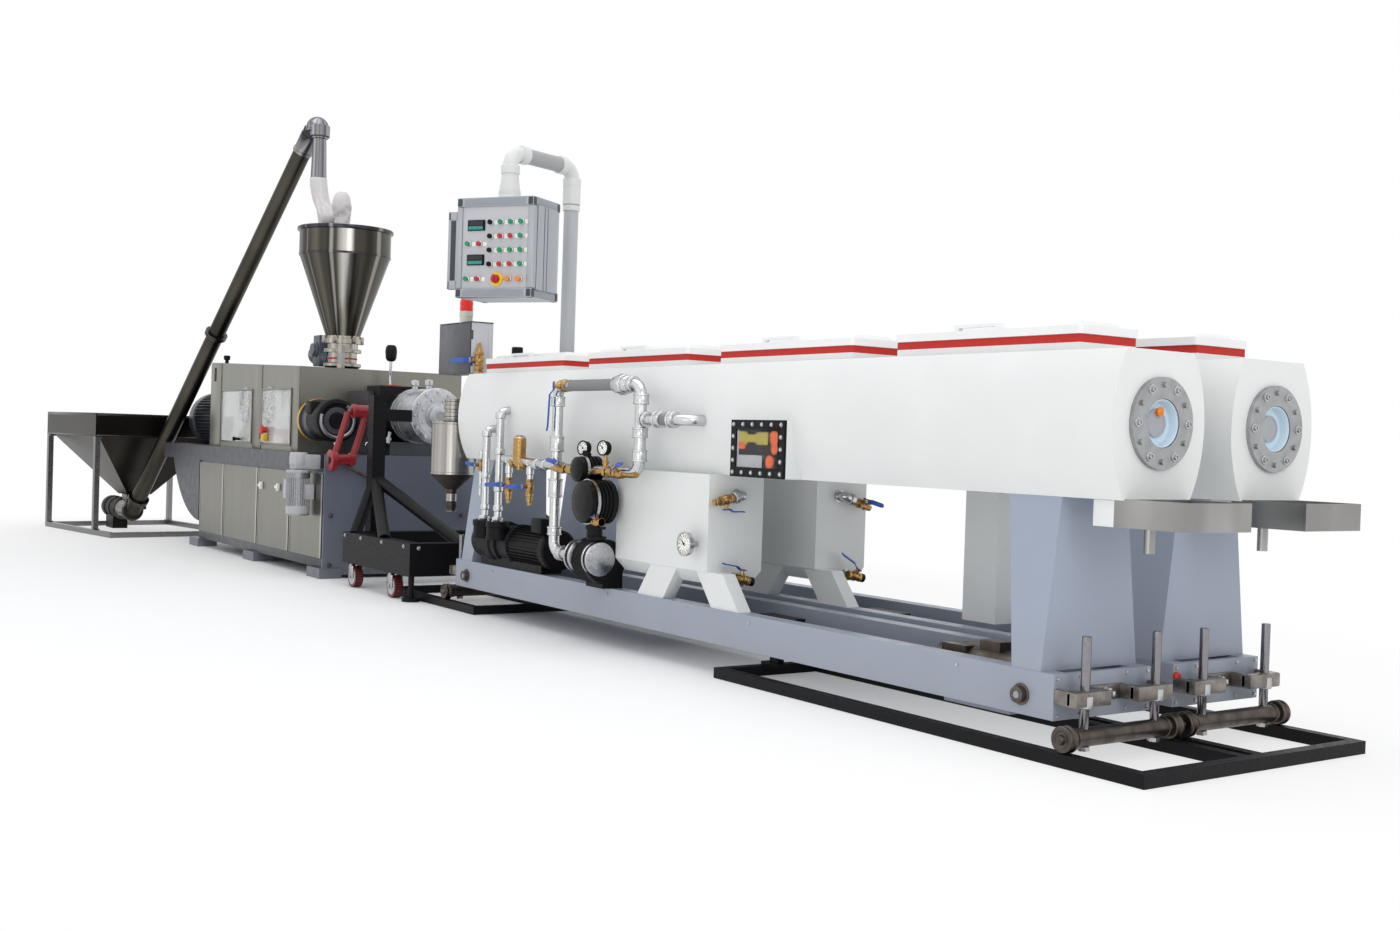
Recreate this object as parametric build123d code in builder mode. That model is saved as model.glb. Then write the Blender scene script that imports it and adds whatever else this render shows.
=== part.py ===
from build123d import *
from math import cos, sin, radians, hypot
import os

# Plastic pipe extrusion line: screw loader, twin-screw extruder, die stand and two vacuum
# calibration tanks that stand side by side. Lengths are in millimetres. X runs along the line
# towards the discharge end, Y runs away from the operator, Z is up from the floor. X is
# measured from the tanks' discharge end and Y from the centre of the near tank, and the last
# lines move the whole line so that its origin is the middle of its floor area.

# Calibration tanks
TANK_LENGTH = 4262
TANK_PITCH = 543
TANK_FLAT = 150
TANK_BULGE = 206
TANK_BOTTOM = 775
TANK_AXIS = 1000
TANK_TOP = 1212
TANK_WALL = 8
END_PLATE = 12
LID_COUNT = 4
FIRST_LID_GAP = 150
LAST_LID_END = 198
LID_SPACE = 238
LIDS_RUN = TANK_LENGTH - FIRST_LID_GAP - LAST_LID_END
LID_LENGTH = (LIDS_RUN - (LID_COUNT - 1) * LID_SPACE) / LID_COUNT
LID_PITCH = LID_LENGTH + LID_SPACE
LID_WIDTH = 250
COAMING_HEIGHT = 24
SEAL_HEIGHT = 25
SEAL_WIDTH = 22
LID_RIM = 26
LID_CROWN = 16
LID_GAP = 0.5
LID_OVERHANG = 7
LID_CORNER = 14
LID_BORDER = 34
FLANGE_RADIUS = 135
FLANGE_THICKNESS = 14
BORE_RADIUS = 72
SLEEVE_RADIUS = 78
SLEEVE_DEPTH = 86
BOLT_RADIUS = 8
BOLT_CIRCLE = 112
BOLT_COUNT = 6

# Base frame, pedestals, wheels and rails
BASE_START = TANK_LENGTH - 52
BASE_END = 169
BASE_HALF_WIDTH = 217
BASE_BOTTOM = 120
BASE_TOP = 256
BEAM_WIDTH = 68
PAN_THICKNESS = 8
PEDESTAL_INSET = 56
PEDESTAL_FOOT = 116
PEDESTAL_HEAD = 209
PEDESTAL_HEAD_HALF = 148
RAIL = 40
RAIL_OFFSET = 236
WHEEL_RADIUS = 40
WHEEL_WIDTH = 36
WHEEL_CLEARANCE = 0.3
AXLE_RADIUS = 28
AXLE_OVERHANG = 66
POST_OFFSET = 158
POST_RADIUS = 14
POST_TOP = 375
BAR_Z = 192
BAR_HEIGHT = 46
BAR_THICKNESS = 12
RIGHT_RAIL_START = 1832
RIGHT_RAIL_END = 196
LEFT_RAIL_START = TANK_LENGTH + 688
LEFT_RAIL_END = TANK_LENGTH - 346

# Leadscrew that rolls each tank along its rails
SCREW_Z = 205
SCREW_RADIUS = 12
SCREW_START = 2189
SCREW_END = 943
NUT_X = 1745
NUT_LENGTH = 210
NUT_SIZE = 62
NUT_CLEARANCE = 0.5
TRAVEL_OUT = 200
TRAVEL_BACK = 80

# Water boxes and trays
BOX_START = 2646
BOX_END = 1961
BOX_NEAR = -214
BOX_FAR = 53
BOX_BOTTOM = 340
BOX_CHAMFER = 52
BOX_FOOT_INSET = 8
TRAY_START = 37
TRAY_END = 219
TRAY_HALF_WIDTH = 141
TRAY_BOTTOM = 697
TRAY_WALL = 4
DRAIN_RADIUS = 16
WINDOW_X0 = -1793
WINDOW_X1 = -1465
WINDOW_TOP = 990
WINDOW_REACH = 226
WINDOW_FRAME = 34
SUMP_X0 = -1255
SUMP_X1 = -1085

# Pipework on the near tank
PIPE_RADIUS = 24
PIPE_BEND = 52
LOOP_Y = -290
LOOP_LEFT = TANK_LENGTH - 1207
LOOP_RIGHT = LOOP_LEFT - 696
LOOP_TOP = 1130
LOOP_BOTTOM = 385
PUMP_Z = 372
FILTER_LINE = 768
FILTER_X = LOOP_LEFT - 283
FILTER_Z = 765
FILTER_RADIUS = 62
SMALL_PUMP_X = LOOP_LEFT - 315
SUCTION_X = TANK_LENGTH - 477
CUP_SPOTS = (-SUCTION_X - 50, -SUCTION_X + 92)
POT_X = TANK_LENGTH + 143
POT_Y = -165
JUNCTION_X0 = TANK_LENGTH + 483
JUNCTION_X1 = TANK_LENGTH + 95

# Control panel on its pipe arm
ARM_PIPE_RADIUS = 38
ARM_POST_X = TANK_LENGTH - 276
ARM_POST_Y = 271
ARM_HEIGHT = 2300
PANEL_X = ARM_POST_X - 161
PANEL_Y = -170
PANEL_WIDTH = 425
PANEL_DEPTH = 255
PANEL_HEIGHT = 487
PANEL_BOTTOM = 1570
PANEL_TURN = 32.6
BUTTON_ROWS = 4
BUTTON_COLUMNS = 4
BUTTON_X = -22
BUTTON_Z = 161
BUTTON_STEP = 57
BUTTON_RISE = 68
BUTTON_RADIUS = 11
BUTTON_DEPTH = 22
DISPLAY_X = -150
DISPLAY_WIDTH = 92
DISPLAY_HEIGHT = 48
DISPLAY_BOTTOMS = (159, 328)
KNOB_SPOT = (18, 88)
KNOB_RADIUS = 16
SWIVEL_GAP = 0.5

# Extruder
LINE_Y = TANK_PITCH / 2
SEAT_GAP = 0.3
BASE_X0 = 8400
BASE_X1 = 5830
CABINET_HALF = 600
CABINET_BOTTOM = 60
CABINET_TOP = 640
TABLE_X0 = 9370
TABLE_X1 = 6170
TABLE_TOP = 750
PANEL_GAP = 22
PANEL_SHEET = 10
GUARD_X0 = 8305
GUARD_X1 = 6419
GUARD_HALF = 560
GUARD_LEFT_TOP = 1362
GUARD_RIGHT_TOP = 1296
MOTOR_RADIUS = 195
MOTOR_Y = 40
MOTOR_Z = TABLE_TOP + MOTOR_RADIUS
HOPPER_X = 7160
HOPPER_RADIUS = 310
HOPPER_RIM = 2290
HOPPER_SHOULDER = 2105
HOPPER_NECK = 1530
HOPPER_NECK_RADIUS = 112
HOPPER_WALL = 5
THROAT_RADIUS = 95
SLEEVE_SPOT = (-7330, 190)
VENT_SPOT = (-7090, 215)
COLLAR_HEIGHT = 34
BARREL_Z = 1000
BARREL_RADIUS = 165
DIE_X = 5566
DIE_RADIUS = 158
CASTER_RADIUS = 62
TROLLEY_BOTTOM = 134

# Screw loader
LOADER_TURN = 8
LOADER_X = 10670
LOADER_Y = -958
LOADER_LENGTH = 1430
LOADER_SIZE = 1080
LOADER_RIM = 967
LOADER_SKIRT = 780
LOADER_OUTLET = 300
LOADER_OUTLET_SIZE = 200
LOADER_WALL = 5
LOADER_LEG = 40
TUBE_RADIUS = 62
HEAD_X = -7450
HEAD_Y = 170
HEAD_OUTLET = 2645
TUBE_LOW = Vector(-9945, -425, 175)
TUBE_HIGH = Vector(-7540, 150, 3020)

tanks = (0, 1)
pieces = []


def keep(name, part):
    """Label a finished piece and put it on the list of pieces to write."""
    part.label = name
    pieces.append(part)


def block(x, y, z, mode=Mode.ADD):
    """A block between two corners: each span is its low and high value."""
    centre = ((x[0] + x[1]) / 2, (y[0] + y[1]) / 2, (z[0] + z[1]) / 2)
    with Locations(centre):
        Box(x[1] - x[0], y[1] - y[0], z[1] - z[0], mode=mode)


def bar(start, end, radius, mode=Mode.ADD):
    """A round bar from one point to another."""
    start, end = Vector(start), Vector(end)
    length = (end - start).length
    with Locations(Plane(origin=start, z_dir=end - start)):
        Cylinder(radius, length, align=(Align.CENTER, Align.CENTER, Align.MIN), mode=mode)


def pipe(points, radius, bend):
    """A pipe along straight runs joined by round bends."""
    with BuildLine() as route:
        FilletPolyline(*points, radius=bend)
    with BuildSketch(Plane(origin=route.line @ 0, z_dir=route.line % 0)) as bore:
        Circle(radius)
    sweep(bore.sketch, path=route.line)


def tank_section(x, y0, length, inset=0.0, mode=Mode.ADD):
    """The tank's section, with a flat top and bottom and bulging sides, drawn out along X."""
    flat, bulge = TANK_FLAT - inset, TANK_BULGE - inset
    top, bottom = TANK_TOP - inset, TANK_BOTTOM + inset
    with BuildSketch(Plane.YZ.offset(x)) as outline:
        with BuildLine():
            ThreePointArc((y0 + flat, bottom), (y0 + bulge, TANK_AXIS), (y0 + flat, top))
            Line((y0 + flat, top), (y0 - flat, top))
            ThreePointArc((y0 - flat, top), (y0 - bulge, TANK_AXIS), (y0 - flat, bottom))
            Line((y0 - flat, bottom), (y0 + flat, bottom))
        make_face()
    extrude(outline.sketch, amount=length, mode=mode)


def lid_span(number):
    """Low and high X of one lid, counted from the extruder end."""
    end = -LAST_LID_END - (LID_COUNT - 1 - number) * LID_PITCH
    return end - LID_LENGTH, end


def tank_shell(y0, name, window):
    """Welded tank with bulging sides, thick ends and a raised coaming for each lid."""
    coaming = LID_WIDTH / 2
    with BuildPart() as shell:
        tank_section(-TANK_LENGTH, y0, TANK_LENGTH)
        for number in range(LID_COUNT):
            span = lid_span(number)
            block(span, (y0 - coaming, y0 + coaming), (TANK_TOP, TANK_TOP + COAMING_HEIGHT))
        if window:
            block((WINDOW_X0, WINDOW_X1), (y0 - WINDOW_REACH, y0), (TANK_BOTTOM, WINDOW_TOP))
        else:
            block((SUMP_X0, SUMP_X1), (y0 - 63, y0 + 63), (BASE_TOP + 6, TANK_BOTTOM))
        inside = TANK_LENGTH - 2 * END_PLATE
        tank_section(-TANK_LENGTH + END_PLATE, y0, inside, TANK_WALL, Mode.SUBTRACT)
        for number in range(LID_COUNT):
            low, high = lid_span(number)
            mouth = coaming - SEAL_WIDTH
            block((low + SEAL_WIDTH, high - SEAL_WIDTH), (y0 - mouth, y0 + mouth),
                  (TANK_TOP - 2 * TANK_WALL, TANK_TOP + COAMING_HEIGHT), Mode.SUBTRACT)
        bar((-TANK_LENGTH, y0, TANK_AXIS), (-TANK_LENGTH + END_PLATE, y0, TANK_AXIS),
            SLEEVE_RADIUS + SEAT_GAP, Mode.SUBTRACT)
        bar((-END_PLATE, y0, TANK_AXIS), (0, y0, TANK_AXIS), SLEEVE_RADIUS + SEAT_GAP, Mode.SUBTRACT)
        if window:
            block((WINDOW_X0 + WINDOW_FRAME, WINDOW_X1 - WINDOW_FRAME), (y0 - WINDOW_REACH, y0 - 150),
                  (TANK_BOTTOM + WINDOW_FRAME, WINDOW_TOP - WINDOW_FRAME), Mode.SUBTRACT)
    keep(name, shell.part)


def end_flanges(y0, name):
    """Bolted ring with a guide sleeve and a blanking disc set back in it, at both tank ends."""
    with BuildPart() as flanges:
        for face, out in ((0, 1), (-TANK_LENGTH, -1)):
            centre = Vector(face, y0, TANK_AXIS)
            front = centre + Vector(out * FLANGE_THICKNESS, 0, 0)
            back = centre - Vector(out * SLEEVE_DEPTH, 0, 0)
            bar(centre, front, FLANGE_RADIUS)
            bar(back, front, SLEEVE_RADIUS)
            bar(back + Vector(out * 10, 0, 0), front, BORE_RADIUS, Mode.SUBTRACT)
            with Locations(Plane(origin=front, z_dir=(out, 0, 0))):
                with PolarLocations(BOLT_CIRCLE, BOLT_COUNT):
                    Cylinder(BOLT_RADIUS, 7, align=(Align.CENTER, Align.CENTER, Align.MIN))
    keep(name, flanges.part)


def lid(y0, number, name):
    """Dished lid with rounded corners and a low grip along its near edge."""
    low, high = lid_span(number)
    base = TANK_TOP + COAMING_HEIGHT + SEAL_HEIGHT + LID_GAP
    centre = (low + high) / 2
    length, width = LID_LENGTH + 2 * LID_OVERHANG, LID_WIDTH + 2 * LID_OVERHANG
    with BuildPart() as cover:
        with BuildSketch(Plane.XY.offset(base)):
            with Locations((centre, y0)):
                RectangleRounded(length, width, LID_CORNER)
        extrude(amount=LID_RIM)
        with BuildSketch(Plane.XY.offset(base + LID_RIM)):
            with Locations((centre, y0)):
                RectangleRounded(length - 2 * LID_BORDER, width - 2 * LID_BORDER, LID_CORNER)
        extrude(amount=LID_CROWN, taper=35)
        grip_y = y0 - width / 2 + 16
        top = base + LID_RIM
        block((centre - 130, centre + 70), (grip_y - 9, grip_y + 9), (top + 10, top + 20))
        for x in (centre - 130, centre + 50):
            block((x, x + 20), (grip_y - 9, grip_y + 9), (top, top + 20))
        if name == "tank_1_lid_1":
            knob = (low + 92, y0)
            bar((*knob, top), (*knob, top + 30), 14)
            bar((*knob, top + 22), (*knob, top + 66), 27)
    keep(name, cover.part)


def lid_seals(y0, name):
    """Red seal rings on the four coamings."""
    with BuildPart() as seals:
        outer = LID_WIDTH / 2
        base = TANK_TOP + COAMING_HEIGHT
        for number in range(LID_COUNT):
            low, high = lid_span(number)
            block((low, high), (y0 - outer, y0 + outer), (base, base + SEAL_HEIGHT))
            inner = outer - SEAL_WIDTH
            block((low + SEAL_WIDTH, high - SEAL_WIDTH), (y0 - inner, y0 + inner),
                  (base, base + SEAL_HEIGHT), Mode.SUBTRACT)
    keep(name, seals.part)


def tank_base(y0, name):
    """Two box beams joined by end plates, a slotted pan and a tapered pedestal at each end."""
    half = BASE_HALF_WIDTH
    with BuildPart() as base:
        for side in (-1, 1):
            edge = sorted((y0 + side * half, y0 + side * (half - BEAM_WIDTH)))
            block((-BASE_START, -BASE_END), edge, (BASE_BOTTOM, BASE_TOP))
        for end in (-BASE_START, -BASE_END - 20):
            block((end, end + 20), (y0 - half, y0 + half), (BASE_BOTTOM, BASE_TOP))
        block((-BASE_START, -BASE_END), (y0 - half, y0 + half),
              (BASE_BOTTOM, BASE_BOTTOM + PAN_THICKNESS))
        slot = NUT_SIZE / 2 + 8
        block((-NUT_X - TRAVEL_OUT - 60, -NUT_X + TRAVEL_BACK + 60), (y0 - slot, y0 + slot),
              (BASE_BOTTOM, BASE_BOTTOM + PAN_THICKNESS), Mode.SUBTRACT)
        block((-730, -442), (y0 - 110, y0 + 110), (BASE_BOTTOM - 36, BASE_BOTTOM))
        for x in (-BASE_END - 127, -BASE_START + 127):
            bar((x, y0 - half - 22, 180), (x, y0 + half + 22, 180), 22)
        for mirrored in (False, True):
            pedestal(y0, mirrored)
    keep(name, base.part)


def pedestal(y0, mirrored):
    """Folded sheet pedestal, wide at the beams and deep under the tank."""
    middle = (BASE_START + BASE_END) / 2
    foot = -BASE_END - PEDESTAL_INSET - PEDESTAL_FOOT / 2
    head = -BASE_END - PEDESTAL_INSET - PEDESTAL_HEAD / 2
    if mirrored:
        foot = -2 * middle - foot
        head = -2 * middle - head
    with BuildSketch(Plane.XY.offset(BASE_TOP)) as bottom:
        with Locations((foot, y0)):
            Rectangle(PEDESTAL_FOOT, 2 * BASE_HALF_WIDTH - 6)
    with BuildSketch(Plane.XY.offset(TANK_BOTTOM)) as top:
        with Locations((head, y0)):
            Rectangle(PEDESTAL_HEAD, 2 * PEDESTAL_HEAD_HALF)
    loft([bottom.sketch, top.sketch])


def height_posts(y0, name):
    """Axle tube with a wheel at each end, threaded posts through it and the bent bar that holds them."""
    axle_z = RAIL + WHEEL_RADIUS + WHEEL_CLEARANCE
    low, high = BAR_Z - BAR_HEIGHT / 2, BAR_Z + BAR_HEIGHT / 2
    with BuildPart() as gear:
        for face, out in ((-BASE_END, 1), (-BASE_START, -1)):
            x = face + out * AXLE_OVERHANG
            bar((x, y0 - RAIL_OFFSET, axle_z), (x, y0 + RAIL_OFFSET, axle_z), AXLE_RADIUS)
            block(sorted((face, face + out * BAR_THICKNESS)), (y0 - 75, y0 + 75), (low, high))
            bar((face, y0, BAR_Z), (face + out * 44, y0, BAR_Z), 13)
            for side in (-1, 1):
                wheel = y0 + side * RAIL_OFFSET
                half = WHEEL_WIDTH / 2
                bar((x, wheel - half, axle_z), (x, wheel + half, axle_z), WHEEL_RADIUS)
                bar((x, wheel, axle_z), (x, wheel + side * (WHEEL_WIDTH / 2 + 9), axle_z), 22)
                post = y0 + side * POST_OFFSET
                bar((x, post, RAIL + 4), (x, post, POST_TOP), POST_RADIUS)
                bar((x, post, RAIL + 4), (x, post, axle_z - AXLE_RADIUS + 4), POST_RADIUS + 6)
                bar((x, post, BAR_Z - 26), (x, post, BAR_Z + 10), POST_RADIUS + 8)
                ends = y0 + side * 62, y0 + side * 218
                block((x - 20, x + 20), sorted(ends), (low, high))
                for end, turn in zip(ends, (side, -side)):
                    block(sorted((face, x)), sorted((end, end + turn * 20)), (low, high))
    keep(name, gear.part)


def leadscrew(y0, name):
    """Leadscrew with its far bearing, coupling and gear motor on the base frame's pan."""
    floor = BASE_BOTTOM + PAN_THICKNESS
    start = -SCREW_END
    with BuildPart() as screw:
        bar((-SCREW_START, y0, SCREW_Z), (start, y0, SCREW_Z), SCREW_RADIUS)
        bar((start, y0, SCREW_Z), (start + 95, y0, SCREW_Z), 26)
        bar((start + 95, y0, SCREW_Z), (start + 150, y0, SCREW_Z), 52)
        block((start + 140, start + 250), (y0 - 58, y0 + 58), (floor, SCREW_Z + 58))
        bar((start + 250, y0, SCREW_Z), (start + 430, y0, SCREW_Z), 60)
        bar((start + 430, y0, SCREW_Z), (start + 465, y0, SCREW_Z), 64)
        block((start + 290, start + 380), (y0 - 34, y0 + 34), (SCREW_Z, SCREW_Z + 84))
        block((start + 280, start + 400), (y0 - 50, y0 + 50), (floor, SCREW_Z))
        block((-SCREW_START - 30, -SCREW_START + 10), (y0 - 30, y0 + 30), (floor, SCREW_Z + 30))
    keep(name, screw.part)


def water_box(y0, name):
    """Closed water box with chamfered bottom edges on splayed sheet feet."""
    with BuildPart() as box:
        block((-BOX_START, -BOX_END), (y0 + BOX_NEAR, y0 + BOX_FAR), (BOX_BOTTOM, TANK_BOTTOM))
        low = box.edges().filter_by(Axis.X).group_by(Axis.Z)[0]
        chamfer(low, BOX_CHAMFER)
        near = y0 - BASE_HALF_WIDTH + BOX_FOOT_INSET
        top = BOX_BOTTOM + BOX_CHAMFER
        with BuildSketch(Plane.XZ.offset(-near)):
            for low_x, high_x, splay in ((-2369, -2175, -101), (-2040, -1860, 110)):
                with BuildLine():
                    Polyline((low_x, top), (high_x, top), (high_x + splay, BASE_TOP),
                             (low_x + splay, BASE_TOP), close=True)
                make_face()
        extrude(amount=-(BEAM_WIDTH - BOX_FOOT_INSET))
    keep(name, box.part)


def drip_tray(y0, name):
    """Open stainless tray under the tank's discharge end, with a drain."""
    top = TANK_BOTTOM + 4
    half = TRAY_HALF_WIDTH
    with BuildPart() as tray:
        block((-TRAY_START, TRAY_END), (y0 - half, y0 + half), (TRAY_BOTTOM, top))
        block((0.5 + END_PLATE, TRAY_END - TRAY_WALL), (y0 - half + TRAY_WALL, y0 + half - TRAY_WALL),
              (TRAY_BOTTOM + TRAY_WALL, top), Mode.SUBTRACT)
        block((-TRAY_START, 0.5), (y0 - half, y0 + half), (TANK_BOTTOM, top), Mode.SUBTRACT)
        block((-TRAY_START - 74, -TRAY_START), (y0 - half, y0 + half), (TRAY_BOTTOM, TANK_BOTTOM))
        bar((-20, y0, TRAY_BOTTOM - 78), (-20, y0, TRAY_BOTTOM), DRAIN_RADIUS)
    keep(name, tray.part)


def tank(number):
    """One tank with everything that rolls with it."""
    y0 = number * TANK_PITCH
    prefix = f"tank_{number + 1}_"
    tank_shell(y0, prefix + "shell", window=number == 0)
    end_flanges(y0, prefix + "end_flanges")
    lid_seals(y0, prefix + "lid_seals")
    for index in range(LID_COUNT):
        lid(y0, index, prefix + f"lid_{index + 1}")
    tank_base(y0, prefix + "base")
    height_posts(y0, prefix + "height_posts")
    leadscrew(y0, prefix + "leadscrew")
    water_box(y0, prefix + "water_box")
    drip_tray(y0, prefix + "drip_tray")


def rail_frames():
    """Two floor frames of square tube under the wheels, with the anchors of the screw nuts."""
    rows = (-RAIL_OFFSET, RAIL_OFFSET, TANK_PITCH - RAIL_OFFSET, TANK_PITCH + RAIL_OFFSET)
    with BuildPart() as frames:
        for x0, x1 in ((-RIGHT_RAIL_START, RIGHT_RAIL_END), (-LEFT_RAIL_START, -LEFT_RAIL_END)):
            for y in rows:
                block((x0, x1), (y - RAIL / 2, y + RAIL / 2), (0, RAIL))
            for x in (x0, x1 - RAIL):
                block((x, x + RAIL), (rows[0], rows[-1]), (0, RAIL))
        for number in tanks:
            screw_anchor(number * TANK_PITCH)
    keep("rail_frames", frames.part)


def screw_anchor(y):
    """Nut block on a post that holds one tank's leadscrew to the floor frame."""
    half = NUT_SIZE / 2
    left, right = -NUT_X - NUT_LENGTH / 2, -NUT_X + NUT_LENGTH / 2
    block((-RIGHT_RAIL_START, -NUT_X + 20), (y - 30, y + 30), (RAIL, RAIL + 12))
    block((-NUT_X - 50, -NUT_X), (y - 16, y + 16), (RAIL, SCREW_Z - half))
    block((left, right), (y - half, y + half), (SCREW_Z - half, SCREW_Z + half))
    bar((left - 14, y, SCREW_Z), (right + 14, y, SCREW_Z), 24)
    bar((left - 30, y, SCREW_Z), (right + 30, y, SCREW_Z), SCREW_RADIUS + NUT_CLEARANCE, Mode.SUBTRACT)


def inspection_window():
    """Bolted window frame on the near side of the near tank."""
    face = -WINDOW_REACH - SEAT_GAP
    with BuildPart() as frame:
        block((WINDOW_X0, WINDOW_X1), (face - 12, face), (TANK_BOTTOM, WINDOW_TOP))
        block((WINDOW_X0 + WINDOW_FRAME, WINDOW_X1 - WINDOW_FRAME), (face - 12, face - 6),
              (TANK_BOTTOM + WINDOW_FRAME, WINDOW_TOP - WINDOW_FRAME), Mode.SUBTRACT)
    keep("inspection_window", frame.part)


def vacuum_pipework():
    """Pipe loop, suction pipes, manifold and valves along the near tank."""
    y = LOOP_Y
    with BuildPart() as pipes:
        pipe(((-SMALL_PUMP_X - 95 - SEAT_GAP, y, LOOP_BOTTOM), (-LOOP_LEFT, y, LOOP_BOTTOM),
              (-LOOP_LEFT, y, LOOP_TOP), (-LOOP_RIGHT, y, LOOP_TOP), (-LOOP_RIGHT, y, 765),
              (-LOOP_RIGHT - 190, y, 765)), PIPE_RADIUS, PIPE_BEND)
        pipe(((-LOOP_RIGHT, y, 985), (-LOOP_RIGHT + 330, y, 985), (-LOOP_RIGHT + 330, -TANK_FLAT, 985)),
             PIPE_RADIUS - 2, PIPE_BEND)
        pipe(((-LOOP_LEFT + 55, y, 772), (-LOOP_LEFT - 40, y, 772), (-LOOP_LEFT - 505, y, 788)), 20, 30)
        bar((-LOOP_LEFT - 355, y, 770), (-LOOP_LEFT - 355, y, 895), 28)
        for x in (-LOOP_LEFT - 455, -LOOP_LEFT - 245):
            bar((x, y, 640), (x, y, 790), 15)
        bar((-LOOP_LEFT, y, FILTER_LINE), (-LOOP_RIGHT - 150, y, FILTER_LINE), 17)
        for x, top in zip(CUP_SPOTS, (930, 1020)):
            pipe(((x, -250, 480 + SEAT_GAP), (x, -250, top), (x, -TANK_FLAT, top)), 19, 30)
        tank_section(-TANK_LENGTH, 0, TANK_LENGTH, -SEAT_GAP, Mode.SUBTRACT)
        bar((-FILTER_X, -360, FILTER_Z), (-FILTER_X, -240, FILTER_Z), FILTER_RADIUS + SEAT_GAP, Mode.SUBTRACT)
    keep("vacuum_pipework", pipes.part)


def vacuum_pump():
    """Vacuum pump with its motor and the two water pump casings on the base frame."""
    with BuildPart() as pump:
        x = -SUCTION_X
        bar((x - 215, -150, PUMP_Z), (x + 535, -150, PUMP_Z), 88)
        block((x - 165, x + 465), (-205, -95), (BASE_TOP, PUMP_Z))
        for cup in CUP_SPOTS:
            bar((cup, -250, PUMP_Z + 20), (cup, -250, 480), 52)
        x = -SMALL_PUMP_X
        bar((x - 80, -250, PUMP_Z), (x + 80, -250, PUMP_Z), 95)
        bar((x - 95, LOOP_Y, LOOP_BOTTOM), (x - 60, LOOP_Y, LOOP_BOTTOM), 70)
        bar((x + 60, LOOP_Y, LOOP_BOTTOM), (x + 90, LOOP_Y, LOOP_BOTTOM), 70)
        block((x - 70, x + 70), (-260, -160), (BASE_TOP, PUMP_Z))
    keep("vacuum_pump", pump.part)


def water_filters():
    """Two disc filters hung from the lower pipe run, with gauges above."""
    with BuildPart() as filters:
        x = -FILTER_X
        bar((x, -360, FILTER_Z), (x, -240, FILTER_Z), FILTER_RADIUS)
        bar((x + 92, -380, FILTER_Z - 135), (x + 92, -240, FILTER_Z - 135), 98)
        bar((x + 52, -300, FILTER_Z - 135), (x + 12, -300, FILTER_Z), 30)
        for x in (-FILTER_X - 38, -FILTER_X + 122):
            bar((x, LOOP_Y, FILTER_LINE + 17 + SEAT_GAP), (x, LOOP_Y, 845), 8)
            bar((x, LOOP_Y - 12, 862), (x, LOOP_Y + 12, 862), 28)
    keep("water_filters", filters.part)


def separator_pot():
    """Water separator with a ribbed neck, hung from the near tank's end."""
    x, y = -POT_X, POT_Y
    with BuildPart() as pot:
        with BuildSketch(Plane.XZ.offset(-y)):
            with BuildLine():
                Polyline((x, 490), (x + 28, 490), (x + 28, 604), (x + 112, 686), (x + 112, 958),
                         (x + 42, 962), (x + 42, 1082), (x, 1082), close=True)
            make_face()
        revolve(axis=Axis((x, y, 0), (0, 0, 1)))
        block((x, -TANK_LENGTH), (y - 15, y + 15), (880, 930))
    keep("separator_pot", pot.part)


def junction_box():
    """Junction box with a signal beacon, on a bracket at the near tank's end."""
    x0, x1 = -JUNCTION_X0, -JUNCTION_X1
    y0, y1 = -100, 27
    beacon = (x1 - 128, y0 + 30)
    with BuildPart() as box:
        block((x0, x1), (y0, y1), (1220, 1490))
        block((x1 - 60, -TANK_LENGTH + 80), (y0 + 20, y1 - 20), (TANK_TOP, 1220))
        bar((*beacon, 1490), (*beacon, 1555), 32)
        bar((*beacon, 1555), (*beacon, 1622), 30)
    keep("junction_box", box.part)


def panel_post():
    """Upright pipe behind the near tank that carries the panel arm."""
    x, y = -ARM_POST_X, ARM_POST_Y
    with BuildPart() as post:
        bar((x, y, TANK_BOTTOM - 15), (x, y, ARM_HEIGHT - 192), ARM_PIPE_RADIUS)
        for z in (860, 1090):
            block((x - 30, x + 30), (TANK_FLAT, y), (z, z + 50))
        tank_section(x - 100, 0, 200, -SEAT_GAP, Mode.SUBTRACT)
    keep("panel_post", post.part)


def panel_arm():
    """Arm of white elbows and a grey pipe that turns on the post."""
    x, y = -ARM_POST_X, ARM_POST_Y
    with BuildPart() as arm:
        low = ARM_HEIGHT - 192 + SWIVEL_GAP
        top = PANEL_BOTTOM + PANEL_HEIGHT + SWIVEL_GAP
        pipe(((x, y, low), (x, y, ARM_HEIGHT), (-PANEL_X, PANEL_Y, ARM_HEIGHT),
              (-PANEL_X, PANEL_Y, top)), ARM_PIPE_RADIUS, 70)
        bar((x, y, low), (x, y, ARM_HEIGHT - 90), ARM_PIPE_RADIUS + 8)
        bar((-PANEL_X, PANEL_Y, top), (-PANEL_X, PANEL_Y, top + 50), ARM_PIPE_RADIUS + 16)
    keep("panel_arm", arm.part)


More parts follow.
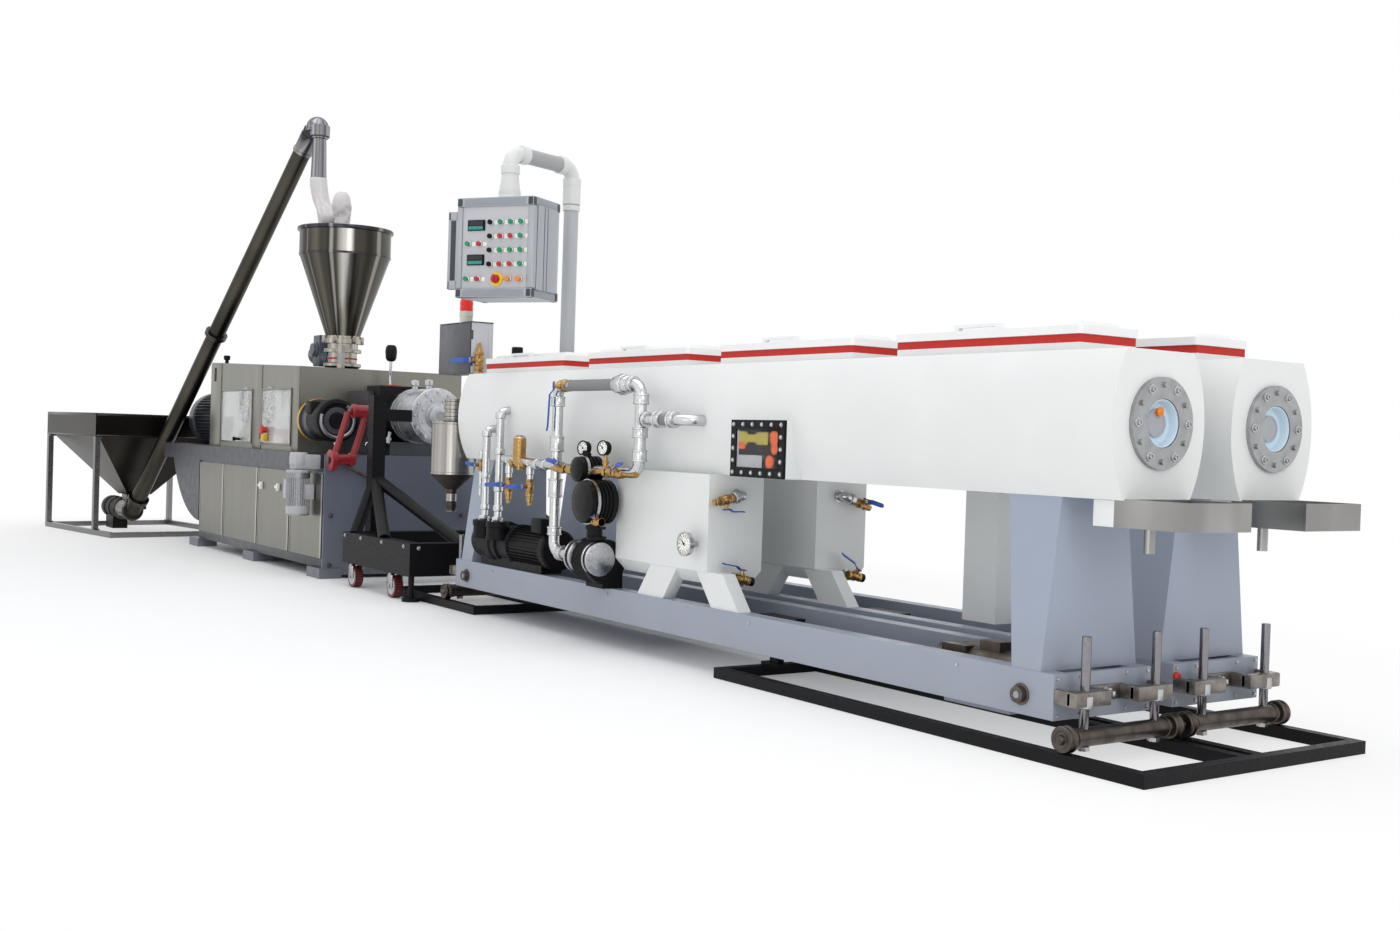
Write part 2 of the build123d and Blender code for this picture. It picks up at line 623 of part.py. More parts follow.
def control_panel():
    """Control box that turns under the arm, with its side grip."""
    turned = Plane(origin=(-PANEL_X, PANEL_Y, PANEL_BOTTOM),
                   x_dir=(cos(radians(PANEL_TURN)), sin(radians(PANEL_TURN)), 0), z_dir=(0, 0, 1))
    with BuildPart(turned) as panel:
        half = PANEL_DEPTH / 2
        block((-PANEL_WIDTH / 2, PANEL_WIDTH / 2), (-half, half), (0, PANEL_HEIGHT))
        edge = -PANEL_WIDTH / 2
        block((edge - 125, edge), (-15, 15), (55, PANEL_HEIGHT - 47))
        for row in range(BUTTON_ROWS):
            for column in range(BUTTON_COLUMNS):
                x, z = BUTTON_X + column * BUTTON_STEP, BUTTON_Z + row * BUTTON_RISE
                bar((x, -half, z), (x, -half - BUTTON_DEPTH, z), BUTTON_RADIUS)
        for z in DISPLAY_BOTTOMS:
            block((DISPLAY_X, DISPLAY_X + DISPLAY_WIDTH), (-half - 4, -half), (z, z + DISPLAY_HEIGHT))
        knob_x, knob_z = KNOB_SPOT
        bar((knob_x, -half, knob_z), (knob_x, -half - 10, knob_z), KNOB_RADIUS * 2)
        bar((knob_x, -half, knob_z), (knob_x, -half - 34, knob_z), KNOB_RADIUS)
    keep("control_panel", panel.part)


def extruder_base():
    """Cabinet of the extruder on six feet, with the end plate under the barrel."""
    near_side, far_side = LINE_Y - CABINET_HALF, LINE_Y + CABINET_HALF
    with BuildPart() as base:
        block((-BASE_X0, -BASE_X1), (near_side + PANEL_SHEET, far_side - PANEL_SHEET),
              (CABINET_BOTTOM, CABINET_TOP))
        block((-BASE_X1 - 12, -BASE_X1), (near_side, far_side), (20, TABLE_TOP))
        for x in (-8560, -7280, -6040):
            for side in (-1, 1):
                edge = LINE_Y + side * CABINET_HALF
                block((x, x + 220), sorted((edge + side * 20, edge - side * 120)), (0, CABINET_BOTTOM))
    keep("extruder_base", base.part)


def base_panels():
    """Removable sheet panels on both long sides of the cabinet."""
    edges = (-8400, -7815, -7067, -6437, -5850)
    with BuildPart() as panels:
        for side in (-1, 1):
            edge = LINE_Y + side * CABINET_HALF
            y = sorted((edge, edge - side * PANEL_SHEET))
            for left, right in zip(edges[:-1], edges[1:]):
                block((left + PANEL_GAP / 2, right - PANEL_GAP / 2), y, (CABINET_BOTTOM + 58, 628))
    keep("base_panels", panels.part)


def drive_table():
    """Dark table frame over the cabinet with the curved bracket under the motor."""
    with BuildPart() as table:
        y = (LINE_Y - CABINET_HALF - 6, LINE_Y + CABINET_HALF + 6)
        block((-TABLE_X0, -TABLE_X1), y, (CABINET_TOP, TABLE_TOP))
        with BuildSketch(Plane.XZ.offset(-y[0])):
            with BuildLine():
                Line((-BASE_X0, CABINET_TOP), (-9100, CABINET_TOP))
                ThreePointArc((-9100, CABINET_TOP), (-8900, 390), (-BASE_X0, 190))
                Line((-BASE_X0, 190), (-BASE_X0, CABINET_TOP))
            make_face()
        extrude(amount=-(y[1] - y[0]))
    keep("drive_table", table.part)


def drive_motor():
    """Main motor on the overhanging end of the table."""
    with BuildPart() as motor:
        bar((-9300, MOTOR_Y, MOTOR_Z), (-GUARD_X0, MOTOR_Y, MOTOR_Z), MOTOR_RADIUS)
    keep("drive_motor", motor.part)


def drive_guard():
    """Sheet guard over the coupling and the reduction gear, higher at the motor end."""
    with BuildPart() as guard:
        with BuildSketch(Plane.XZ.offset(-(LINE_Y - GUARD_HALF))):
            with BuildLine():
                Polyline((-GUARD_X0, TABLE_TOP), (-GUARD_X1, TABLE_TOP),
                         (-GUARD_X1, GUARD_RIGHT_TOP), (-GUARD_X0, GUARD_LEFT_TOP), close=True)
            make_face()
        extrude(amount=-2 * GUARD_HALF)
        bar((-HOPPER_X, LINE_Y, 1200), (-HOPPER_X, LINE_Y, 1400), THROAT_RADIUS + SEAT_GAP, Mode.SUBTRACT)
    keep("drive_guard", guard.part)


def gearbox():
    """Distribution gearbox between guard and barrel, with the side motor's yellow flange."""
    right = -6080
    with BuildPart() as box:
        block((-GUARD_X1 + SEAT_GAP, right), (LINE_Y - 240, LINE_Y + 240), (TABLE_TOP + SEAT_GAP, 1150))
        bar((-GUARD_X1 + SEAT_GAP, -165, 955), (-GUARD_X1 + 34, -165, 955), 135)
        bar((-GUARD_X1 + 34, -165, 955), (right, -165, 955), 122)
        block((-6168, -5844), (LINE_Y - 180, LINE_Y + 180), (CABINET_TOP + SEAT_GAP, 834))
    keep("gearbox", box.part)


def barrel():
    """Stainless cover round the barrel with nipples and melt gauge, and the round die on its end."""
    left, flange = -6080 + SEAT_GAP, -DIE_X - 60
    top = BARREL_Z + BARREL_RADIUS
    with BuildPart() as cover:
        bar((left, LINE_Y, BARREL_Z), (flange, LINE_Y, BARREL_Z), BARREL_RADIUS)
        bar((flange, LINE_Y, BARREL_Z), (-DIE_X, LINE_Y, BARREL_Z), DIE_RADIUS)
        bar((-DIE_X, LINE_Y, BARREL_Z), (-DIE_X + 40, LINE_Y, BARREL_Z), 60)
        for x in (-5909, -5700):
            bar((x, LINE_Y, top - 10), (x, LINE_Y, top + 50), 16)
    keep("barrel", cover.part)


def feeder():
    """Feed throat on the guard with its stirrer tubes and the gear motor beside it."""
    x, y = -HOPPER_X, LINE_Y
    seat = HOPPER_NECK - SEAT_GAP
    with BuildPart() as throat:
        bar((x, y, 1200), (x, y, seat), THROAT_RADIUS)
        for z in (1340, 1440, seat - 18):
            bar((x, y, z), (x, y, z + 18), HOPPER_NECK_RADIUS + 14)
        bar((x + 130, y - 60, 1325), (x + 130, y - 60, 1470), 26)
        bar((x, y - 20, 1400), (x - 230, y - 20, 1400), 60)
        block((x - 330, x - 210), (y - 90, y + 60), (1345, 1560))
        bar((x - 430, y - 20, 1430), (x - 330, y - 20, 1430), 72)
    keep("feeder", throat.part)


def feed_hopper():
    """Spun stainless hopper with a rolled rim and a cover with two collars."""
    x = -HOPPER_X
    inner = HOPPER_RADIUS - HOPPER_WALL
    neck = HOPPER_NECK_RADIUS - HOPPER_WALL
    with BuildPart() as hopper:
        with BuildSketch(Plane.XZ.offset(-LINE_Y)):
            with BuildLine():
                Polyline((x + HOPPER_NECK_RADIUS, HOPPER_NECK), (x + HOPPER_RADIUS, HOPPER_SHOULDER),
                         (x + HOPPER_RADIUS, HOPPER_RIM - 24), (x + HOPPER_RADIUS + 12, HOPPER_RIM - 20),
                         (x + HOPPER_RADIUS + 12, HOPPER_RIM), (x, HOPPER_RIM),
                         (x, HOPPER_RIM - HOPPER_WALL), (x + inner, HOPPER_RIM - HOPPER_WALL),
                         (x + inner, HOPPER_SHOULDER + 2), (x + neck, HOPPER_NECK), close=True)
            make_face()
        revolve(axis=Axis((x, LINE_Y, 0), (0, 0, 1)))
        for spot in (SLEEVE_SPOT, VENT_SPOT):
            bar((*spot, HOPPER_RIM), (*spot, HOPPER_RIM + COLLAR_HEIGHT), 48)
            bar((*spot, HOPPER_RIM - 20), (*spot, HOPPER_RIM + COLLAR_HEIGHT), 45, Mode.SUBTRACT)
    keep("feed_hopper", hopper.part)


def hanging_motor():
    """Vertical motor beside the cabinet, on a bracket that rests on the cabinet's top."""
    x, y = -6045, LINE_Y - CABINET_HALF - 85
    seat = CABINET_TOP + SEAT_GAP
    with BuildPart() as motor:
        bar((x, y, 372), (x, y, 420), 70)
        bar((x, y, 420), (x, y, 600), 64)
        bar((x, y, 600), (x, y, 648), 70)
        bar((x, y, 648), (x, y, 740), 44)
        block((x + 10, x + 62), (y + 20, y + 78), (470, 560))
        block((x - 60, x + 60), (y, LINE_Y - CABINET_HALF + 130), (seat, seat + 14))
    keep("hanging_motor", motor.part)


def link_arms():
    """Two red arms between cross tubes on the end plate, with the grey rod that steadies the die."""
    x = -BASE_X1 + SEAT_GAP
    with BuildPart() as arms:
        bar((x + 64, -190, 1015), (x + 64, -60, 1015), 36)
        bar((x + 64, -215, 1005), (x + 64, -305, 716), 17)
        bar((x + 64, -100, 1000), (x + 64, -180, 725), 17)
        bar((x + 64, -190, 1015), (x + 64, -215, 1005), 17)
        bar((x + 64, -300, 722), (x + 64, -175, 722), 30)
        bar((x + 64, -325, 716), (x + 64, -290, 716), 62)
        bar((x + 64, -265, 700), (x + 64, 65, 550), 11)
        block((x, x + 64), (-200, -160), (690, 745))
    keep("link_arms", arms.part)


def die_trolley():
    """Black die stand on casters: a low frame, two posts, splayed legs and levelling feet."""
    x0, x1 = -5480, -4520
    edge = 611
    post_x = -5520
    with BuildPart() as frame:
        for side in (-1, 1):
            y = LINE_Y + side * edge
            block((x0, x1), sorted((y, y - side * 80)), (TROLLEY_BOTTOM, 310))
            post = LINE_Y + side * 404
            block((post_x - 40, post_x + 40), (post - 40, post + 40), (250, 1110))
            block((post_x - 40, post_x + 40), sorted((post, LINE_Y + side * 200)), (960, 1030))
            block((post_x, x0 + 80), (post - 40, post + 40), (230, 310))
            bar((post_x, post, 620), (x0 + 90, y - side * 40, 300), 34)
            bar((post_x, post, 620), (-4960, y - side * 40, 300), 34)
            bar((post_x, post, 620), (x1 - 50, post - side * 120, 300), 34)
            for x in (-5330, -4765):
                caster(x, LINE_Y + side * 585)
            bar((-4560, y - side * 30, 0), (-4560, y - side * 30, 16), 48)
            bar((-4560, y - side * 30, 16), (-4560, y - side * 30, TROLLEY_BOTTOM + 6), 16)
        for x in (x0, x1 - 80):
            block((x, x + 80), (LINE_Y - edge, LINE_Y + edge), (TROLLEY_BOTTOM, 310))
    keep("die_trolley", frame.part)


def caster(x, y):
    """Caster with a forked bracket, its wheel on the floor."""
    bar((x, y - 22, CASTER_RADIUS), (x, y + 22, CASTER_RADIUS), CASTER_RADIUS)
    bar((x, y - 32, CASTER_RADIUS), (x, y + 32, CASTER_RADIUS), 12)
    for side in (-1, 1):
        block((x - 28, x + 28), sorted((y + side * 26, y + side * 32)), (CASTER_RADIUS - 6, TROLLEY_BOTTOM))
    block((x - 34, x + 34), (y - 34, y + 34), (2 * CASTER_RADIUS, TROLLEY_BOTTOM))


def loader_frame(ground):
    """Floor frame with four posts that carry the loader's hopper."""
    size, tube = LOADER_SIZE, LOADER_LEG
    with BuildPart(ground) as frame:
        for y in (0, size - tube):
            block((0, LOADER_LENGTH), (y, y + tube), (0, tube))
        for x in (0, LOADER_LENGTH - tube):
            block((x, x + tube), (0, size), (0, tube))
        for x in (0, size - tube):
            for y in (0, size - tube):
                block((x, x + tube), (y, y + tube), (0, LOADER_SKIRT))
    keep("loader_frame", frame.part)


def loader_hopper(ground):
    """Square sheet hopper: an upright skirt with a ledge over a pyramid."""
    middle = LOADER_SIZE / 2
    ledge = LOADER_SIZE - 2 * (LOADER_LEG + 2)
    seat = LOADER_SKIRT + SEAT_GAP
    with BuildPart(ground) as hopper:
        for inset, mode in ((0, Mode.ADD), (LOADER_WALL, Mode.SUBTRACT)):
            block((inset, LOADER_SIZE - inset), (inset, LOADER_SIZE - inset),
                  (seat + inset, LOADER_RIM), mode)
            with BuildSketch(ground.offset(seat + inset)):
                with Locations((middle, middle)):
                    Rectangle(ledge - 2 * inset, ledge - 2 * inset)
            with BuildSketch(ground.offset(LOADER_OUTLET)):
                with Locations((middle, middle)):
                    Rectangle(LOADER_OUTLET_SIZE - 2 * inset, LOADER_OUTLET_SIZE - 2 * inset)
            loft(mode=mode)
    keep("loader_hopper", hopper.part)


def loader_drive():
    """Motor of the screw on its foot."""
    with BuildPart() as drive:
        end = TUBE_LOW - Vector(330 + SEAT_GAP, 0, 0)
        bar(end - Vector(370, 0, 0), end, 85)
        block((end.X - 320, end.X - 80), (end.Y - 60, end.Y + 60), (0, TUBE_LOW.Z))
    keep("loader_drive", drive.part)


def loader_tube():
    """Inclined screw tube from the housing under the loader's hopper to the hooded discharge."""
    low = TUBE_LOW
    with BuildPart() as tube:
        bar(low, TUBE_HIGH, TUBE_RADIUS)
        bar(low - Vector(330, 0, 0), low + Vector(20, 0, 0), 75)
        block((low.X - 290, low.X - 130), (low.Y - 20, low.Y + 140), (low.Z, LOADER_OUTLET - SEAT_GAP))
        bar((HEAD_X, HEAD_Y, HEAD_OUTLET), (HEAD_X, HEAD_Y, 3000), 44)
        bar((HEAD_X, HEAD_Y, 2960), (HEAD_X, HEAD_Y, 3040), 68)
        with Locations((HEAD_X - 30, HEAD_Y - 6, 3030)):
            Sphere(78)
    keep("loader_tube", tube.part)


def discharge_sleeve():
    """Soft sleeve from the discharge pipe to its collar on the hopper, and the vent sock beside it."""
    top = HEAD_OUTLET - SEAT_GAP
    seat = HOPPER_RIM + COLLAR_HEIGHT + SEAT_GAP
    with BuildPart() as sleeve:
        with BuildSketch(Plane.XY.offset(top)) as upper:
            with Locations((HEAD_X, HEAD_Y)):
                Circle(46)
        with BuildSketch(Plane.XY.offset(seat)) as lower:
            with Locations(SLEEVE_SPOT):
                Circle(50)
        loft([lower.sketch, upper.sketch])
        bar((*VENT_SPOT, seat), (*VENT_SPOT, seat + 170), 52)
        with Locations((*VENT_SPOT, seat + 170)):
            Sphere(52)
    keep("discharge_sleeve", sleeve.part)


os.makedirs("parts", exist_ok=True)
turn = radians(LOADER_TURN)
loader_ground = Plane(origin=(-LOADER_X, LOADER_Y, 0), x_dir=(cos(turn), sin(turn), 0), z_dir=(0, 0, 1))
for number in tanks:
    tank(number)
rail_frames()
inspection_window()
vacuum_pipework()
vacuum_pump()
water_filters()
separator_pot()
junction_box()
panel_post()
panel_arm()
control_panel()
extruder_base()
base_panels()
drive_table()
drive_motor()
drive_guard()
gearbox()
barrel()
feeder()
feed_hopper()
hanging_motor()
link_arms()
die_trolley()
loader_frame(loader_ground)
loader_hopper(loader_ground)
loader_drive()
loader_tube()
discharge_sleeve()

# The origin is the middle of the line's floor area
box = Compound(children=[piece.moved(Location()) for piece in pieces]).bounding_box()
to_origin = Location((-box.center().X, -box.center().Y, -box.min.Z))
print("moved by", -box.center().X, -box.center().Y, -box.min.Z, "size", box.size)
for piece in pieces:
    export_step(piece.moved(to_origin), f"parts/{piece.label}.step")
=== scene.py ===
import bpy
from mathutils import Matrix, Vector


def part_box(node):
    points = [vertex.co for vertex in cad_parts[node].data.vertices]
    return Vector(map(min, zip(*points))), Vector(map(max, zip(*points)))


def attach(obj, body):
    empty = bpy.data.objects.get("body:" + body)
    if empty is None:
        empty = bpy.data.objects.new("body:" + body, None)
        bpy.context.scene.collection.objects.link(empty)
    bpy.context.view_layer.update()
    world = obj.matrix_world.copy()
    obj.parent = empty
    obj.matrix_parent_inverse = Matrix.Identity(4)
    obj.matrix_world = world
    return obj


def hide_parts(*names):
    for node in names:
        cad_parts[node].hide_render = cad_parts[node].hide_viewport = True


bl_info = {
    "name": "Pipe Extrusion Line",
    "version": (1, 0, 0),
    "blender": (4, 5, 0),
    "location": "3D View > Sidebar > Line",
    "description": "Finishes and small parts of a plastic pipe extrusion line, round its packed frame",
    "category": "Add Mesh",
}

from math import cos, pi, radians, sin

import bmesh
import bpy
from mathutils import Matrix, Vector

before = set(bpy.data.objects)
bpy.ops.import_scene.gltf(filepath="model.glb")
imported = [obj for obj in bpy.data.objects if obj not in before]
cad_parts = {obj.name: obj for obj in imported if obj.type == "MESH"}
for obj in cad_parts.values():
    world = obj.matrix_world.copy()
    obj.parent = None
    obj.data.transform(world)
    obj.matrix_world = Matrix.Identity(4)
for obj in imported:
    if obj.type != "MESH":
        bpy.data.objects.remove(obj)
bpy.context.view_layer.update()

# Places are given in millimetres, as in the part's source: X from the tanks' discharge end, Y from
# the centre of the near tank, Z from the floor. The far tank's box says where that is in the frame.
TANK_PITCH = 543
FAR_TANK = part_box("tank_2_shell")
ORIGIN = Vector((FAR_TANK[1].x, (FAR_TANK[0].y + FAR_TANK[1].y) / 2 - TANK_PITCH / 1000, 0))


def at(x, y, z):
    """A place in millimetres as a point in the frame."""
    return ORIGIN + Vector((x, y, z)) / 1000


# Directions as the photograph shows them, with the extruder on the left
RIGHT, LEFT = (1, 0, 0), (-1, 0, 0)
FAR, NEAR = (0, 1, 0), (0, -1, 0)
UP, DOWN = (0, 0, 1), (0, 0, -1)


def linear(code):
    """An sRGB hex code as linear red, green and blue."""
    values = [int(code[i:i + 2], 16) / 255 for i in (1, 3, 5)]
    return [v / 12.92 if v <= 0.04045 else ((v + 0.055) / 1.055) ** 2.4 for v in values]


# Properties

def colour(name, description, code):
    """A colour that the user can change, with its default from a hex code."""
    return bpy.props.FloatVectorProperty(
        name=name, description=description, default=linear(code), subtype="COLOR", min=0, max=1)


def length(name, description, default):
    """A length that the user can change, in metres."""
    return bpy.props.FloatProperty(
        name=name, description=description, default=default, min=0.001, unit="LENGTH")


class LineColours(bpy.types.PropertyGroup):
    """Colours of the line's finishes."""

    tank: colour("Tank", "Powder coat of the cooling tanks", "#E6E8E7")
    lid: colour("Lid", "Moulded plastic of the lids", "#F0F1F1")
    seal: colour("Seal", "Silicone seals under the lids", "#C42A22")
    blue_grey: colour("Blue grey", "Paint of the bases and the extruder's ends", "#9CA5B6")
    warm_grey: colour("Warm grey", "Brushed sheet of the cabinet and the guard", "#86857E")
    dark_grey: colour("Dark grey", "Paint of the table, gearbox and junction box", "#43454C")
    black: colour("Black", "Powder coat of the rails, trolley and pumps", "#0F0F12")
    steel: colour("Stainless steel", "Brushed stainless sheet and tube", "#9A9A99")
    red: colour("Red", "Paint of the link arms", "#8C1923")
    valve_blue: colour("Valve blue", "Dipped coat of the valve levers", "#1C4FA8")
    brass: colour("Brass", "Bodies of the ball valves", "#B4905A")


class LineSizes(bpy.types.PropertyGroup):
    """Sizes of small parts that repeat."""

    bolt: length("Bolt head", "Radius of the large bolt heads", 0.009)
    lever: length("Valve lever", "Length of the levers on the manifold and the bracket", 0.12)
    gauge: length("Gauge", "Radius of a vacuum gauge's case", 0.033)
    button: length("Push button", "Radius of the panel's push buttons", 0.0118)


# Modelling

def alone(piece=None):
    """Deselects everything, then selects and activates one piece."""
    bpy.ops.object.select_all(action="DESELECT")
    if piece:
        piece.select_set(True)
        bpy.context.view_layer.objects.active = piece


def pick(test):
    """In edit mode, selects the faces whose middle and normal pass a test."""
    piece = bpy.context.object
    mesh = bmesh.from_edit_mesh(piece.data)
    for part in (*mesh.verts, *mesh.edges, *mesh.faces):
        part.select_set(False)
    for face in mesh.faces:
        if test(face.calc_center_median(), face.normal):
            face.select_set(True)
    bmesh.update_edit_mesh(piece.data)


def turned(steps, sides=24, round_edge=0.0):
    """A round piece along Z from (height, radius) steps in millimetres, each extruded from the last."""
    alone()
    (z, r), *rest = steps
    bpy.ops.mesh.primitive_circle_add(
        vertices=sides, radius=r / 1000, fill_type="NGON", location=(0, 0, z / 1000))
    piece = bpy.context.object
    bpy.ops.object.mode_set(mode="EDIT")
    bpy.ops.mesh.select_all(action="SELECT")
    for height, radius in rest:
        bpy.ops.mesh.extrude_region_move(TRANSFORM_OT_translate={"value": (0, 0, (height - z) / 1000)})
        scale = radius / r
        if scale != 1:
            bpy.ops.transform.resize(
                value=(scale, scale, 1), center_override=(0, 0, height / 1000))
        z, r = height, radius
    bpy.ops.mesh.select_all(action="SELECT")
    bpy.ops.mesh.normals_make_consistent(inside=False)
    bpy.ops.object.mode_set(mode="OBJECT")
    if round_edge:
        rounded(piece, round_edge)
    return piece


def rounded(piece, width):
    """Rounds a piece's sharp edges by a width in millimetres."""
    alone(piece)
    bevel = piece.modifiers.new("edges", "BEVEL")
    bevel.width = width / 1000
    bevel.segments = 2
    bevel.limit_method = "ANGLE"
    bevel.angle_limit = radians(38)
    bpy.ops.object.modifier_apply(modifier=bevel.name)


def slab(x, y, z, edge=1.0):
    """A block between (low, high) spans in millimetres, with its edges bevelled."""
    alone()
    low, high = at(x[0], y[0], z[0]), at(x[1], y[1], z[1])
    bpy.ops.mesh.primitive_cube_add(size=1, location=(low + high) / 2)
    piece = bpy.context.object
    piece.scale = high - low
    bpy.ops.object.transform_apply(location=True, rotation=True, scale=True)
    if edge:
        bpy.ops.object.mode_set(mode="EDIT")
        bpy.ops.mesh.select_all(action="SELECT")
        bpy.ops.mesh.bevel(offset=edge / 1000, segments=2, affect="EDGES")
        bpy.ops.object.mode_set(mode="OBJECT")
    return piece


def bent(places, radius, sides=4):
    """A round tube past places in millimetres, from a smooth curve made a mesh."""
    alone()
    line = bpy.data.curves.new("rod", "CURVE")
    line.dimensions = "3D"
    line.bevel_depth = radius / 1000
    line.bevel_resolution = sides
    line.use_fill_caps = True
    run = line.splines.new("NURBS")
    run.points.add(len(places) - 1)
    for point, place in zip(run.points, places):
        point.co = (*at(*place), 1)
    run.order_u = 3
    run.use_endpoint_u = True
    run.resolution_u = 6
    piece = bpy.data.objects.new("rod", line)
    bpy.context.scene.collection.objects.link(piece)
    alone(piece)
    bpy.ops.object.convert(target="MESH")
    return bpy.context.object


def aim(start, toward):
    """The move that takes a piece made along Z to a start in millimetres, pointing in a direction."""
    turn = Vector(toward).to_track_quat("Z", "Y").to_matrix().to_4x4()
    return Matrix.Translation(at(*start)) @ turn


def turn_about(place, degrees, axis):
    """The move that turns a piece about a place in millimetres."""
    return (Matrix.Translation(at(*place)) @ Matrix.Rotation(radians(degrees), 4, axis)
            @ Matrix.Translation(-at(*place)))


def around(centre, radius, angles, axis="X"):
    """Places on a circle round an axis, at angles in degrees."""
    x, y, z = centre
    made = []
    for angle in angles:
        run, rise = radius * cos(radians(angle)), radius * sin(radians(angle))
        made.append((x, y + run, z + rise) if axis == "X" else (x + run, y + rise, z))
    return made


def moved(piece, matrix):
    """Moves a piece, its place kept in its mesh."""
    alone(piece)
    piece.matrix_world = matrix @ piece.matrix_world
    bpy.ops.object.transform_apply(location=True, rotation=True, scale=True)
    return piece


def rod(start, toward, steps, sides=24, round_edge=0.0):
    """A turned piece from a start in millimetres, in a direction."""
    return moved(turned(steps, sides, round_edge), aim(start, toward))


def joined(pieces):
    """Makes one piece of several."""
    alone(pieces[0])
    for piece in pieces[1:]:
        piece.select_set(True)
    if len(pieces) > 1:
        bpy.ops.object.join()
    return bpy.context.object


def copies(piece, moves):
    """One piece made of a copy for each move, each from its own mesh."""
    made = []
    for move in moves:
        copy = piece.copy()
        copy.data = piece.data.copy()
        bpy.context.scene.collection.objects.link(copy)
        copy.data.transform(move)
        made.append(copy)
    bpy.data.objects.remove(piece)
    return joined(made)


def finish(pieces, name, look, body, smooth=35):
    """Makes one named piece of one or several, in one finish, and lets it ride on a body."""
    piece = joined(pieces) if isinstance(pieces, list) else pieces
    alone(piece)
    bpy.ops.object.transform_apply(location=True, rotation=True, scale=True)
    bpy.ops.object.shade_smooth_by_angle(angle=radians(smooth))
    piece.data.materials.clear()
    piece.data.materials.append(LOOKS[look])
    piece.name = name
    piece.data.name = name
    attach(piece, body)
    return piece


# Finishes

def add(tree, kind, values=None, links=None, **settings):
    """Adds one node to a tree, with its settings, the values of its sockets and its links."""
    node = tree.nodes.new(kind)
    for key, value in settings.items():
        setattr(node, key, value)
    for socket, value in (values or {}).items():
        node.inputs[socket].default_value = value
    for socket, source in (links or {}).items():
        tree.links.new(source, node.inputs[socket])
    return node


def shades(code, *factors):
    """Darker or lighter shades of a linear colour, as RGBA."""
    return [(*[min(1, c * f) for c in code], 1) for f in factors]


def material(name, **values):
    """A new material with its shader's own values, its tree and its object coordinates."""
    look = bpy.data.materials.new(name)
    look.use_nodes = True
    tree = look.node_tree
    shader = tree.nodes["Principled BSDF"]
    for key, value in values.items():
        shader.inputs[key.replace("_", " ")].default_value = value
    coords = add(tree, "ShaderNodeTexCoord").outputs["Object"]
    return look, tree, shader, coords


def noise(tree, coords, size, detail=3.0, stretch=(1, 1, 1)):
    """Noise whose blobs are a size in millimetres, stretched along an axis by a factor below 1."""
    placed = add(tree, "ShaderNodeMapping", {"Scale": [s * 1000 / size for s in stretch]},
                 {"Vector": coords})
    return add(tree, "ShaderNodeTexNoise", {"Scale": 1.0, "Detail": detail},
               {"Vector": placed.outputs["Vector"]}).outputs["Fac"]


def spread(tree, factor, low, high, start=0.3, end=0.7):
    """A colour that runs between two as the factor does between start and end."""
    ramp = add(tree, "ShaderNodeValToRGB", links={"Fac": factor})
    ramp.color_ramp.elements[0].position = start
    ramp.color_ramp.elements[0].color = low
    ramp.color_ramp.elements[1].position = end
    ramp.color_ramp.elements[1].color = high
    return ramp.outputs["Color"]


def between(tree, factor, low, high, start=0.3, end=0.7):
    """A number that runs between two as the factor does between start and end."""
    return add(tree, "ShaderNodeMapRange",
               {"From Min": start, "From Max": end, "To Min": low, "To Max": high},
               {"Value": factor}).outputs["Result"]


def maths(tree, operation, *values):
    """The result of one sum, from sockets and plain numbers."""
    node = add(tree, "ShaderNodeMath", operation=operation)
    for socket, value in zip(node.inputs, values):
        if isinstance(value, bpy.types.NodeSocket):
            tree.links.new(value, socket)
        else:
            socket.default_value = value
    return node.outputs[0]


def toned(tree, share, tint, code):
    """A colour that runs from a tint to that of a hex code as a share goes from 0 to 1."""
    mixed = add(tree, "ShaderNodeMix", data_type="RGBA", links={"Factor": share, "A": tint})
    mixed.inputs["B"].default_value = (*linear(code), 1)
    return mixed.outputs["Result"]


def painted_dark_reflection(tree, tint, depth=0.75, start=0.3, end=0.85):
    """Paints a dark reflection into a polished metal's colour where its surface turns away from the view, as
    a shop with dark walls would give.
    """
    facing = add(tree, "ShaderNodeLayerWeight", {"Blend": 0.4}).outputs["Facing"]
    return toned(tree, between(tree, facing, 0.0, depth, start, end), tint, "#17181A")


def bump(tree, shader, height, depth, strength=1.0):
    """Lets a height stand a depth in millimetres proud of the surface."""
    raised = add(tree, "ShaderNodeBump", {"Distance": depth / 1000, "Strength": strength},
                 {"Height": height})
    tree.links.new(raised.outputs["Normal"], shader.inputs["Normal"])


def surface(tree, shader, tint, gloss):
    """Links a colour and a roughness to a shader."""
    tree.links.new(tint, shader.inputs["Base Color"])
    tree.links.new(gloss, shader.inputs["Roughness"])


def powder_coat(name, base, roughness=0.38, dust=0.0):
    """Powder coat baked on steel: even and half gloss, with a fine orange peel and faint handling marks.

    The peel is drawn at 14 mm, coarser than the real 2 mm, so that it shows from a few metres."""
    look, tree, shader, coords = material(name, IOR=1.5)
    patches = noise(tree, coords, 240, 5)
    tint = spread(tree, patches, *shades(base, 0.955, 1.0))
    if dust:
        height = add(tree, "ShaderNodeSeparateXYZ", links={"Vector": coords}).outputs["Z"]
        rise = maths(tree, "MULTIPLY_ADD", patches, 0.12, height)
        tint = toned(tree, between(tree, rise, dust, 0.0, 0.1, 0.5), tint, "#8B857B")
    marks = noise(tree, coords, 60, 6)
    surface(tree, shader, tint, between(tree, marks, roughness - 0.05, roughness + 0.1))
    bump(tree, shader, noise(tree, coords, 14, 2), 0.25, 0.3)
    return look


